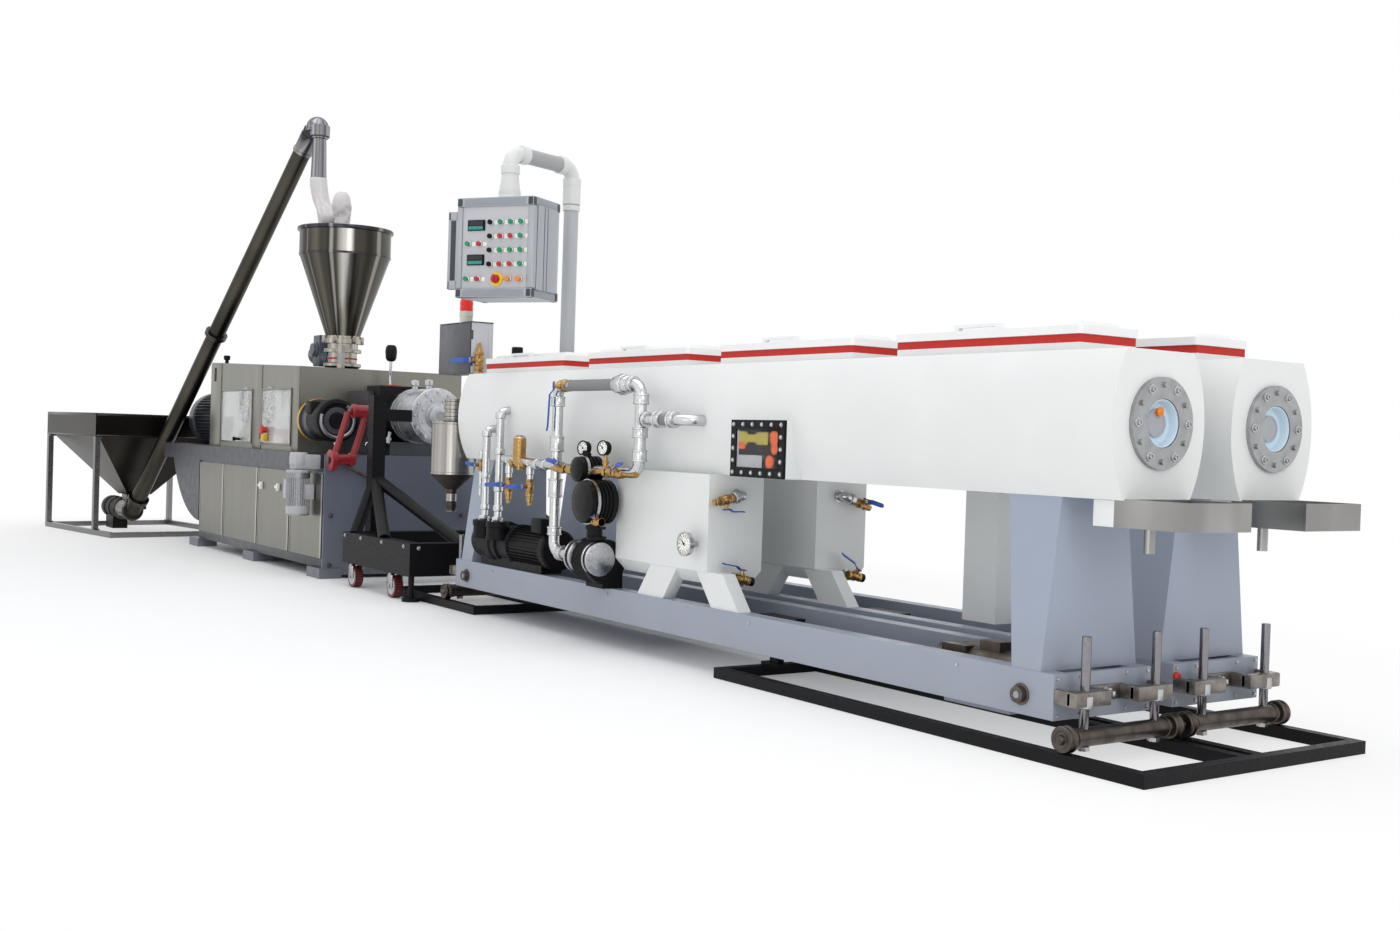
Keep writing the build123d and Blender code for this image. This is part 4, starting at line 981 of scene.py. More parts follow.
class LINE_OT_water_box_fittings(bpy.types.Operator):
    """Elbows, brass valves and the thermometer on the water boxes"""

    bl_idname = "line.water_box_fittings"
    bl_label = "Water box fittings"

    def execute(self, context):
        # Upper outlets: (tank, its elbow's y, its direction)
        for number, y, along in ((1, -80, (0, -1, -0.2)), (2, 446, (0, 0.94, -0.34))):
            body = f"tank_{number}"
            way = Vector(along).normalized()
            start = Vector((BOX_END, y, OUTLET_Z))
            turn = start + Vector((42, 0, 0))
            elbow = [rod(start, RIGHT, ((0, 27), (7, 27), (8, 21), (20, 21)), 28),
                     bent([start, start + Vector((26, 0, 0)), turn, turn + way * 18, turn + way * 46], 19, 6),
                     rod(turn + way * 24, way, ((0, 21), (2, 24), (20, 24), (22, 21)), 28)]
            finish(elbow, f"{body}_outlet_elbow", "zinc_pipe", body)
            valve = turn + way * 82
            stem = (0, 0.1, -1) if number == 1 else (1, 0.1, 0.3)
            lever = (0, 1, 0.25) if number == 1 else (0, 1, -0.3)
            ball_valve(f"{body}_outlet_valve", valve, way, stem, lever, body, 1.0, 0.062)
            tip = rod(valve + way * 34, way, ((0, 12), (3, 12), (3, 15), (16, 15), (18, 13), (27, 13)), 24)
            finish(tip, f"{body}_outlet_nipple", "brass", body)
        # Lower drains: (tank, its valve's y, the directions of its stem and lever)
        for number, y, stem, lever in ((1, -86, (0, 0.1, 1), (0, -1, 0.12)),
                                       (2, 492, (0.5, 0.3, 0.8), (0, -0.55, 0.85))):
            body = f"tank_{number}"
            stub = rod((BOX_END, y, DRAIN_Z), RIGHT, ((0, 22), (5, 22), (6, 15), (40, 15)), 24)
            finish(stub, f"{body}_drain_stub", "zinc_pipe", body)
            along = (0, 1, -0.2)
            middle = Vector((BOX_END + 40, y + 14, DRAIN_Z - 3))
            ball_valve(f"{body}_drain_valve", middle, along, stem, lever, body, 1.0, 0.08)
            cap = rod(middle + Vector((0, 34, -7)), along, (
                (0, 16), (2, 18), (18, 18), (21, 15), (21, 8)), 24)
            finish(cap, f"{body}_drain_cap", "black_plastic", body)
        gauge("tank_1_thermometer", (-2035, -274, 498), NEAR, 49, "tank_1", 22, "zinc_plate")
        stem = rod((-2035, -252, 498), FAR, ((0, 15), (8, 15), (9, 11), (39, 11)), 24)
        finish(stem, "tank_1_thermometer_stem", "zinc_plate", "tank_1")
        return {"FINISHED"}


LOOP_Y = -290
LOOP_LEFT = -3055
LOOP_RIGHT = -2359
LOOP_TOP = 1130
BRANCH_Z = 985
# Filter drums: (x, z, radius, y of the near end)
FILTERS = ((-2772, 765, 62, -360), (-2680, 630, 98, -380))


def collar(centre, along, width, radius, sides=8, chamfer=3):
    """A chamfered screwed collar or union nut round a pipe."""
    half = width / 2
    return rod(centre, along, (
        (-half, radius - chamfer), (-half + chamfer, radius), (half - chamfer, radius),
        (half, radius - chamfer)), sides, 0.8)


class LINE_OT_pipe_fittings(bpy.types.Operator):
    """Couplings, unions, elbow beads, the dark pipes, valves and gauges of the vacuum pipework"""

    bl_idname = "line.pipe_fittings"
    bl_label = "Pipe fittings"

    def execute(self, context):
        LOOKS["grey_pipe"] = moulded("pipe_grey_polypropylene", linear("#77797C"), 0.34)
        body, y = "tank_1", LOOP_Y
        beads = []
        # (x, z, direction, width, radius) on the near pipes
        for x, z, along, width, radius in (
                (LOOP_LEFT, 1060, UP, 46, 31), (LOOP_LEFT, 870, UP, 70, 31), (LOOP_LEFT, 672, UP, 84, 31),
                (LOOP_LEFT, 480, UP, 40, 31), (-2980, 385, RIGHT, 44, 31), (-2870, 385, RIGHT, 36, 31),
                (LOOP_RIGHT - 74, LOOP_TOP, RIGHT, 40, 32), (LOOP_RIGHT, 1068, UP, 44, 31),
                (LOOP_RIGHT, 930, UP, 44, 31), (LOOP_RIGHT, 835, UP, 50, 30),
                (-2213, BRANCH_Z, RIGHT, 46, 32), (-2320, BRANCH_Z, RIGHT, 32, 30),
                (-2116, BRANCH_Z, RIGHT, 36, 31)):
            beads.append(collar((x, y, z), along, width, radius, 24))
            for side in (-1, 1):
                place = Vector((x, y, z)) + Vector(along) * side * (width / 2 - 5)
                beads.append(collar(place, along, 9, radius + 2.5, 24, 2))
        beads.append(collar((-2501, y, LOOP_TOP), RIGHT, 100, 37, 24))
        beads.append(collar((-2501, y, LOOP_TOP), RIGHT, 46, 45, 8))
        beads.append(rod((LOOP_RIGHT, y, BRANCH_Z), RIGHT, ((20, 30), (44, 30), (46, 28)), 24))
        finish(beads, "vacuum_pipe_couplings", "zinc_pipe", body)
        dark = [rod((-2930, y, LOOP_TOP), RIGHT, ((0, 25.5), (375, 25.5)), 32),
                rod((-2188, y, BRANCH_Z), RIGHT, ((0, 24.5), (58, 24.5)), 32)]
        finish(dark, "vacuum_grey_pipes", "grey_pipe", body)
        ball_valve("vacuum_main_valve", (-2990, y, LOOP_TOP), RIGHT, (-0.55, -0.85, 0), (-0.1, 0, -1),
                   body, 1.4, 0.13)
        ball_valve("vacuum_left_valve", (-2975, y - 12, 760), RIGHT, (0, -0.6, 0.5), (-1, 0, 0.1),
                   body, 1.0, 0.055)
        ball_valve("vacuum_right_valve", (-2492, y - 12, 757), RIGHT, (0, -0.6, 0.5), (1, 0, 0.1),
                   body, 1.05, 0.06)
        links = [rod((x, y - 12, z), RIGHT, ((0, radius), (reach, radius)), 20) for x, z, radius, reach in (
            (LOOP_LEFT, 760, 15, 46), (-2941, 760, 14, 416), (-2458, 757, 14, 100))]
        for x, width, radius, sides in (
                (-2900, 44, 22, 8), (-2860, 20, 27, 6), (-2560, 40, 22, 8), (-2596, 18, 27, 6)):
            links.append(collar((x, y - 12, 760), RIGHT, width, radius, sides))
        finish(links, "vacuum_cross_pipe", "brass", body)
        radius = context.scene.line_sizes.gauge * 1000
        for number, (x, z) in enumerate(((-2794, 857), (-2626, 861)), 1):
            gauge(f"vacuum_gauge_{number}", (x, y - 16, z), (0.25, -1, 0.05), radius, body, 26)
            stem = rod((x, y, 772), UP, ((0, 11), (20, 11), (20, 15), (34, 15), (34, 8), (60, 8)), 16)
            finish(stem, f"vacuum_gauge_{number}_stem", "brass", body)
        return {"FINISHED"}


def drum(start, end, radius, rib, depth):
    """A ribbed drum between two places, with a plain band at each end."""
    way = Vector(end) - Vector(start)
    reach = way.length
    band = 15
    floor = radius - depth
    steps = [(0, radius - 4), (3, radius), (band, radius)]
    z = band
    while z + rib < reach - band + 1:
        steps += [(z + 2, floor), (z + rib / 2, floor), (z + rib / 2 + 2, radius), (z + rib, radius)]
        z += rib
    steps += [(reach - 3, radius), (reach, radius - 4)]
    return rod(start, way, steps, 40)


class LINE_OT_filters(bpy.types.Operator):
    """Ribbed black filter drums with their clamp rings, drains and blue valve"""

    bl_idname = "line.filters"
    bl_label = "Filters"

    def execute(self, context):
        body = "tank_1"
        LOOKS["filter_nylon"] = matt_black("filter_black_nylon", linear("#121214"), 0.34)
        black, bright = [], []
        for x, z, radius, near in FILTERS:
            black.append(drum((x, near + 34, z), (x, -240, z), radius - 3, 18, 6))
            black.append(rod((x, near + 34, z), NEAR, (
                (0, radius - 10), (4, radius - 6), (22, radius - 8), (30, radius * 0.62),
                (33, radius * 0.4)), 40))
            bright.append(rod((x, near + 40, z), FAR, (
                (-4, radius - 4), (-4, radius - 0.5), (9, radius - 0.5), (9, radius - 4)), 40))
        x, z = FILTERS[0][:2]
        black.append(rod((x, -300, z + 52), UP, ((0, 22), (18, 22), (20, 17), (30, 17)), 20))
        x, z = FILTERS[1][:2]
        black.append(rod((x, -310, z - 92), DOWN, ((0, 34), (24, 34), (26, 28), (62, 28)), 28))
        piece = finish(black, "filter_drums", "filter_nylon", body)
        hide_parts("water_filters")
        finish(bright, "filter_clamps", "zinc_plate", body)
        ball_valve("filter_drain_valve", (-2610, -330, 548), RIGHT, (0, -0.7, 0.7), (-1, 0, 0.2),
                   body, 1.0, 0.1)
        flange = rod((-2666, -300, 470), UP, ((0, 44), (12, 44), (12, 26), (44, 26), (44, 40), (54, 40)), 32)
        finish(flange, "filter_outlet_flange", "black_coat", body)
        return {"FINISHED"}


PUMP_Y = -150
PUMP_Z = 372
TWIN_Y = -250
TWIN_LEFT = -3835
TWIN_RIGHT = -3693


class LINE_OT_pump_details(bpy.types.Operator):
    """Cooling fins, fan cover, terminal box and foot of the vacuum pump, and its cups"""

    bl_idname = "line.pump_details"
    bl_label = "Pump details"

    def execute(self, context):
        body, y, z = "tank_1", PUMP_Y, PUMP_Z
        fin = slab((-3600, -3300), (y - 0.8, y + 0.8), (z + 85, z + 98), 0)
        made = [spun(fin, (0, y, z), range(-70, 170, 10)),
                rod((-3300, y, z), RIGHT, ((0, 92), (4, 96), (44, 96), (52, 88), (53, 40)), 40),
                rod((-3606, y, z), RIGHT, ((-26, 90), (-22, 99), (-4, 99), (0, 96), (2, 90)), 40),
                slab((-3330, -3232), (-262, -160), (455, 520), 5),
                rod((-3800, y, z), RIGHT, (
                    (-60, 90), (-56, 104), (10, 104), (14, 98), (60, 98), (64, 90)), 40)]
        made += [rod((x, TWIN_Y, 392), UP, (
            (0, 53), (4, 56), (14, 56), (17, 52.6), (60, 52.6), (63, 57), (86, 57), (91, 50)), 40)
            for x in (TWIN_LEFT, TWIN_RIGHT)]
        finish(made, "vacuum_pump_castings", "black_coat", body)
        tops = [place for x in (TWIN_LEFT, TWIN_RIGHT)
                for place in around((x, TWIN_Y, 483), 42, range(0, 360, 60), "Z")]
        heads = [bolts(tops, UP, 6, 5), bolts(around((-3247, y, z), 30, range(45, 360, 90)), RIGHT, 4, 3)]
        finish(heads, "vacuum_pump_bolts", "zinc_plate", body)
        small = [drum((-2816, TWIN_Y, z), (-2664, TWIN_Y, z), 97, 14, 4),
                 rod((-2664, TWIN_Y, z), RIGHT, ((0, 86), (6, 84), (14, 60), (16, 30)), 36)]
        finish(small, "suction_pump_castings", "black_coat", body)
        rings = [rod((x, LOOP_Y, 385), RIGHT, ((-4, 70.5), (-3, 72.5), (4, 72.5), (5, 70.5)), 36)
                 for x in (-2835, -2800, -2680, -2650)]
        finish(rings, "suction_pump_flanges", "zinc_plate", body)
        return {"FINISHED"}


MANIFOLD_VALVES = (-3510, -3300)
SEPARATOR_DRAIN = (-3930, -230)


class LINE_OT_manifold(bpy.types.Operator):
    """Collars of the twin pipes, and the brass manifold with its two blue-handled valves"""

    bl_idname = "line.manifold"
    bl_label = "Manifold"

    def execute(self, context):
        body, y = "tank_1", LOOP_Y
        rings = []
        for x, heights in ((TWIN_LEFT, (905, 700, 545)), (TWIN_RIGHT, (995, 820, 640, 545))):
            rings += [collar((x, TWIN_Y, z), UP, 30, 24.5, 24) for z in heights]
            rings.append(collar((x, TWIN_Y, 492), UP, 24, 30, 6))
        finish(rings, "twin_pipe_collars", "zinc_pipe", body)
        brass = [rod((-3410, y, 742), UP, (
            (0, 12), (16, 12), (16, 21), (24, 21), (24, 29.5), (34, 30.5), (146, 30.5), (150, 27), (155, 26),
            (158, 20), (162, 12)), 32),
            collar((-3352, y, 772), RIGHT, 30, 27, 6), collar((-3460, y, 774), RIGHT, 26, 27, 6)]
        zinc = [collar((-3510, y, 782), UP, 26, 23, 6), collar((-3300, y, 776), UP, 26, 23, 6),
                collar((-3240, y, 772), RIGHT, 44, 26, 24), collar((-3160, y, 772), RIGHT, 30, 27, 6)]
        for x in MANIFOLD_VALVES:
            zinc.append(rod((x, y, 722), UP, ((0, 17), (2, 19), (34, 19), (36, 17)), 24))
            brass.append(rod((x, y, 640), DOWN, (
                (0, 14), (4, 18), (18, 18), (20, 14), (42, 14), (44, 10), (60, 10)), 20))
        finish(brass, "brass_manifold", "brass", body)
        finish(zinc, "manifold_nuts", "zinc_pipe", body)
        for number, x in enumerate(MANIFOLD_VALVES, 1):
            ball_valve(f"manifold_valve_{number}", (x, y, 668), UP, NEAR, (-1, 0, -0.05), body)
        x, y = SEPARATOR_DRAIN
        ball_valve("separator_drain_valve", (x, y, 748), UP, NEAR, (-1, 0, 0.1), body, 0.9, 0.06)
        pipe = [rod((x, y, 716), DOWN, ((0, 10), (120, 10)), 16),
                rod((x, y, 780), UP, ((0, 12), (30, 12), (34, 9), (40, 9)), 16),
                rod((x, y, 640), RIGHT, ((0, 9), (80, 9)), 16)]
        finish(pipe, "separator_drain_pipe", "zinc_pipe", body)
        return {"FINISHED"}


POT = (-4405, -165)


class LINE_OT_separator_details(bpy.types.Operator):
    """Ribs and clamp of the separator's neck, its dark lower cone and its seams"""

    bl_idname = "line.separator_details"
    bl_label = "Separator details"

    def execute(self, context):
        body = "tank_1"
        x, y = POT
        # Painted reflections in bands on the neck's rings
        LOOKS["pot_steel"] = rolled_steel("pot_rings_stainless", linear("#A3A09B"), at(x, y, 0), 0.75, 1.2)
        LOOKS["dark_casting"] = cast_metal("outlet_dark_casting", linear("#4A4642"), 0.42)
        bright = [rod((x, y, 958), UP, (
            (0, 50), (6, 54), (14, 54), (17, 46), (30, 46), (33, 51), (52, 51), (55, 46), (68, 46),
            (71, 51), (90, 51), (93, 46), (108, 46), (112, 50), (122, 50), (124, 44)), 40),
            rod((x, y, 948), UP, ((0, 112.5), (2, 115.5), (11, 115.5), (13, 106)), 56),
            rod((x, y, 690), UP, ((-7, 108), (-5, 115), (5, 115), (7, 112.3)), 56)]
        finish(bright, "separator_rings", "pot_steel", body)
        dark = [rod((x, y, 685), DOWN, ((0, 112.6), (82, 29.5)), 56),
                rod((x, y, 613), DOWN, (
                    (0, 30), (4, 33), (26, 33), (30, 28), (70, 28), (74, 33), (96, 33), (99, 29),
                    (121, 29)), 28)]
        finish(dark, "separator_outlet", "dark_casting", body)
        return {"FINISHED"}


# Control panel

PANEL = (-3825, -170, 1570)
PANEL_HALF = (212.5, 127.5)
PANEL_HEIGHT = 487
PANEL_MOVE = turn_about(PANEL, 32.6, "Z")
BUTTON_X = (-22, 35, 92, 149)
BUTTON_Z = (365, 297, 229, 161)
BUTTON_COLOURS = ("kggg", "krrg", "kggg", "krrg")
BUTTON_WORDS = {"k": "black", "g": "green", "r": "red", "o": "orange"}
PAIRS = ((-146, 262, "g"), (-83, 261, "r"), (-151, 91, "g"), (-89, 90, "r"))
SWITCHES = ((85, 88), (146, 87))
KNOB_SPOT = (18, 88)


def panel_slab(x, y, z, edge=1.0):
    """A block in the panel's own millimetres: X along its face, Y into it, Z from its bottom."""
    return slab([PANEL[0] + v for v in x], [PANEL[1] + v for v in y], [PANEL[2] + v for v in z], edge)


def panel_rod(x, z, steps, sides=20):
    """A turned piece that stands out of the panel's face."""
    return rod((PANEL[0] + x, PANEL[1] - PANEL_HALF[1], PANEL[2] + z), NEAR, steps, sides)


def on_panel(pieces, name, look):
    """Joins pieces modelled square to the panel, turns them with it and lets them ride on it."""
    return finish(moved(joined(pieces), PANEL_MOVE), name, look, "control_panel")


class LINE_OT_panel_case(bpy.types.Operator):
    """Edge profiles, corner blocks, ribs and grip of the control panel"""

    bl_idname = "line.panel_case"
    bl_label = "Panel case"

    def execute(self, context):
        LOOKS["cool_profile"] = powder_coat("profile_cool_grey_enamel", linear("#9398A1"), 0.32)
        # Dark nylon of the corner blocks, also used for the painted shade in the grip's slot
        LOOKS["dark_nylon_and_slot_shade"] = moulded("corner_dark_nylon_and_slot_shade", linear("#3A3E46"), 0.4)
        LOOKS["face_foil"] = moulded("face_printed_foil", linear("#BFC0C4"), 0.42)
        wide, deep = PANEL_HALF
        top = PANEL_HEIGHT
        bands = [panel_slab((-wide - 1, wide + 1), (-deep - 8, -deep + 40), (low, low + 44), 3)
                 for low in (0, top - 44)]
        bands.append(panel_slab((wide - 30, wide + 6), (-deep - 8, -deep + 30), (44, top - 44), 6))
        bands.append(panel_slab((-wide - 1, -wide + 30), (-deep - 8, -deep + 30), (44, top - 44), 6))
        on_panel(bands, "panel_front_profiles", "aluminium")
        strips = [panel_slab((-wide - 1.5, wide + 1.5), (-deep + 30, deep + 1), (low, low + 36), 3)
                  for low in (0.8, top - 36.8)]
        strips += [panel_slab((-wide + 40, wide - 40), (-deep - 9, -deep - 7), (low, low + 34), 0.8)
                   for low in (5, top - 39)]
        on_panel(strips, "panel_top_profiles", "cool_profile")
        corners = []
        for x in (-1, 1):
            for y in (-1, 1):
                for low in (-1.5, top - 46):
                    corners.append(panel_slab(
                        sorted((x * (wide + 3), x * (wide - 34))),
                        sorted((y * (deep + 9.5), y * (deep - 30))), (low, low + 47), 9))
        on_panel(corners, "panel_corner_blocks", "dark_nylon_and_slot_shade")
        foil = panel_slab((-wide + 29, wide - 29), (-deep - 1.2, -deep + 1), (43, top - 43), 0.4)
        on_panel([foil], "panel_face_foil", "face_foil")
        ribs = [panel_slab((wide - 1, wide + 9), (y, y + reach), (38, top - 38), 3.5)
                for y, reach in ((-deep + 31, 62), (-deep + 100, 24), (-deep + 131, 94))]
        on_panel(ribs, "panel_side_ribs", "aluminium")
        # The grip is an aluminium plate with a long slot near its free edge, and a dark block in the slot is
        # its painted shade
        rim = [panel_slab((-338.5, -211), (-17, 17), (low, low + 44), 3) for low in (54, 397)]
        rim += [panel_slab(span, (-17, 17), (54, 441), 3) for span in ((-338.5, -322), (-294, -211))]
        on_panel(rim, "panel_grip", "aluminium")
        slot = panel_slab((-323, -293), (-15.6, 15.6), (97, 398), 0.5)
        on_panel([slot], "panel_grip_slot_painted_shade", "dark_nylon_and_slot_shade")
        return {"FINISHED"}


class LINE_OT_panel_controls(bpy.types.Operator):
    """Displays, push buttons with their tags, selector knobs and the main switch of the panel"""

    bl_idname = "line.panel_controls"
    bl_label = "Panel controls"

    def execute(self, context):
        LOOKS["black_button"] = LOOKS["black_plastic"]
        LOOKS["green_button"] = moulded("button_green_nylon", linear("#0E8A5F"), 0.3)
        LOOKS["red_button"] = moulded("button_red_nylon", linear("#B81F2E"), 0.3)
        LOOKS["orange_button"] = moulded("selector_orange_nylon", linear("#E08A2E"), 0.3)
        LOOKS["yellow_disc"] = moulded("switch_yellow_nylon", linear("#F2D21B"), 0.32)
        LOOKS["teal_display"] = lit("display_teal_segments", linear("#1D8C85"), 0.12)
        LOOKS["dark_display"] = lit("display_smoked_window", linear("#15171A"), 0.05)
        spots = {key: [] for key in BUTTON_WORDS}
        for z, colours in zip(BUTTON_Z, BUTTON_COLOURS):
            for x, key in zip(BUTTON_X, colours):
                spots[key].append((x, z))
        for x, z, key in PAIRS:
            spots[key].append((x, z))
        spots["o"] += SWITCHES
        radius = context.scene.line_sizes.button * 1000
        bezels, tags = [], []
        for key, places in spots.items():
            caps = []
            for x, z in places:
                bezels.append(panel_rod(x, z, (
                    (0, radius + 3), (7, radius + 3), (9, radius + 0.6), (9, radius)), 24))
                if key == "o":
                    caps.append(panel_rod(x, z, ((0, 12), (18, 12), (24, 13.5), (32, 13.5), (35, 9))))
                else:
                    caps.append(panel_rod(x, z, (
                        (0, radius), (22, radius), (24.5, radius - 2.5), (24, 4))))
                    tags.append(panel_slab((x + 17, x + 38), (-PANEL_HALF[1] - 2.6, -PANEL_HALF[1]),
                                           (z - 11, z + 9), 0.6))
            word = BUTTON_WORDS[key]
            on_panel(caps, f"panel_{word}_buttons", f"{word}_button")
        on_panel(bezels, "panel_bezels", "zinc_plate")
        on_panel(tags, "panel_tags", "dial_white")
        self.displays()
        self.main_switch()
        return {"FINISHED"}

    def displays(self):
        face = -PANEL_HALF[1]
        bezels, dark, teal = [], [], []
        for low in (159, 328):
            bezels.append(panel_slab((-152, -56), (face - 8, face), (low - 2, low + 50), 1.6))
            dark.append(panel_slab((-147, -66), (face - 9, face - 7), (low + 21, low + 46), 0.5))
            teal.append(panel_slab((-147, -66), (face - 9, face - 7), (low + 3, low + 19), 0.5))
        on_panel(bezels, "panel_display_bezels", "black_plastic")
        on_panel(dark, "panel_display_windows", "dark_display")
        on_panel(teal, "panel_display_segments", "teal_display")

    def main_switch(self):
        x, z = KNOB_SPOT
        disc = panel_rod(x, z, ((0, 33), (9, 33), (11.5, 31), (11.5, 20)), 40)
        on_panel([disc], "panel_switch_disc", "yellow_disc")
        knob = panel_rod(x, z, ((10, 21), (13, 22), (22, 20), (34, 17), (35.5, 15)), 32)
        grip = panel_slab((x - 20, x + 20), (-PANEL_HALF[1] - 44, -PANEL_HALF[1] - 12), (z - 6, z + 6), 3)
        grip = moved(grip, turn_about((PANEL[0] + x, PANEL[1], PANEL[2] + z), 90, "Y"))
        on_panel([knob, grip], "panel_switch_knob", "red_button")


POST = (-3986, 271)
ARM_Z = 2300


class LINE_OT_arm_details(bpy.types.Operator):
    """Grey pipe and white socket ends of the panel's arm, and the clips of its post"""

    bl_idname = "line.arm_details"
    bl_label = "Arm details"

    def execute(self, context):
        LOOKS["arm_pipe"] = moulded("arm_grey_pvc_pipe", linear("#A3A3A4"), 0.36)
        start, end = Vector((*POST, ARM_Z)), Vector((PANEL[0], PANEL[1], ARM_Z))
        way = (end - start).normalized()
        reach = (end - start).length
        pipe = rod(start + way * 90, way, ((0, 38.8), (reach - 180, 38.8)), 40)
        finish(pipe, "arm_grey_pipe", "arm_pipe", "panel_arm")
        white = []
        for place, along in ((start + way * 66, way), (end - way * 66, -way)):
            white.append(rod(place, along, ((0, 40), (3, 46), (42, 46), (45, 43), (45, 39)), 44))
        for x, y, low in ((*POST, 2200), (PANEL[0], PANEL[1], 2190)):
            white.append(rod((x, y, low), UP, ((0, 40), (0, 44), (3, 47), (40, 47), (44, 44), (44, 39)), 44))
        # The drop pipe flares towards the panel
        white.append(rod((PANEL[0], PANEL[1], 2058), UP, (
            (0, 56), (3, 58), (14, 58), (18, 55), (60, 50), (100, 45), (136, 41)), 48))
        finish(white, "arm_white_sockets", "white_pp", "panel_arm")
        rings = [rod((*POST, z), UP, ((0, 39), (0, 43), (2, 45), (26, 45), (28, 43), (28, 39)), 40)
                 for z in (870, 1100, 2076)]
        finish(rings, "post_rings", "white_pp", "tank_1")
        return {"FINISHED"}


JUNCTION = ((-4745, -4357), (-100, 27), (1220, 1490))
BEACON = (-4485, -70)


class LINE_OT_junction_details(bpy.types.Operator):
    """Door, side sheet and hinges of the junction box, the red beacon, and the valve on the bracket"""

    bl_idname = "line.junction_details"
    bl_label = "Junction box details"

    def execute(self, context):
        body = "tank_1"
        LOOKS["side_sheet"] = powder_coat("junction_light_grey_enamel", linear("#CFD0D6"), 0.36)
        LOOKS["beacon_red"] = lit("beacon_red_polycarbonate", linear("#E0231A"), 0.18)
        LOOKS["beacon_base"] = moulded("beacon_pale_polycarbonate", linear("#CFCBC6"), 0.2)
        (x0, x1), (y0, y1), (z0, z1) = JUNCTION
        sides = [slab((x1, x1 + 1.4), (y0 + 2, y1 + 1), (z0 + 1, z1 - 1), 0.5),
                 slab((x0 + 2, x1 + 1), (y0 + 2, y1 + 1), (z1, z1 + 1.4), 0.5),
                 slab((x1 - 6, x1 + 5), (y1 - 26, y1 - 8), (z0 + 20, z1 - 30), 2)]
        finish(sides, "junction_light_sheets", "side_sheet", body)
        door = [slab((x0 + 3, x1 - 3), (y0 - 4, y0 + 1), (z0 + 3, z1 - 3), 1.5),
                slab((x1 - 4, x1 + 3), (y0 - 2, y0 + 12), (z0 + 40, z0 + 90), 2),
                slab((x1 - 4, x1 + 3), (y0 - 2, y0 + 12), (z1 - 90, z1 - 40), 2),
                slab((x0 - 2, x1 + 4), (y0 - 5, y1 + 3), (z1 + 0.5, z1 + 6), 2)]
        finish(door, "junction_door", "dark_grey_paint", body)
        x, y = BEACON
        lens = rod((x, y, z1 + 66), UP, (
            (0, 33.5), (0, 35), (5, 35.5), (8, 33), (12, 35.5), (17, 35.5), (20, 33), (24, 35.5),
            (29, 35.5), (32, 33), (36, 35.5), (44, 35.5), (58, 33.5), (66.5, 28), (67, 12)), 36)
        finish(lens, "beacon_lens", "beacon_red", body)
        base = rod((x, y, z1 + 2), UP, (
            (0, 38), (5, 38), (7, 34.5), (34, 34.5), (36, 36.5), (62, 36.5), (65, 33)), 36)
        finish(base, "beacon_base", "beacon_base", body)
        ball_valve("bracket_valve", (-4335, -60, 1290), UP, NEAR, LEFT, body, 1.35)
        ends = [rod((-4335, -60, 1220), UP, ((0, 20), (2, 24), (16, 24), (18, 19), (24, 19)), 6),
                rod((-4335, -60, 1334), UP, ((0, 19), (8, 19), (8, 14), (30, 12), (46, 8), (48, 5)), 24)]
        finish(ends, "bracket_valve_nipples", "brass", body)
        plate = slab((-4418, -4181), (-81, 8), (1219.5, 1222), 0.8)
        finish(plate, "bracket_plate", "dial_white", body)
        return {"FINISHED"}


WINDOW = ((-1793, -1465), (775, 990))
WINDOW_Y = -238.3


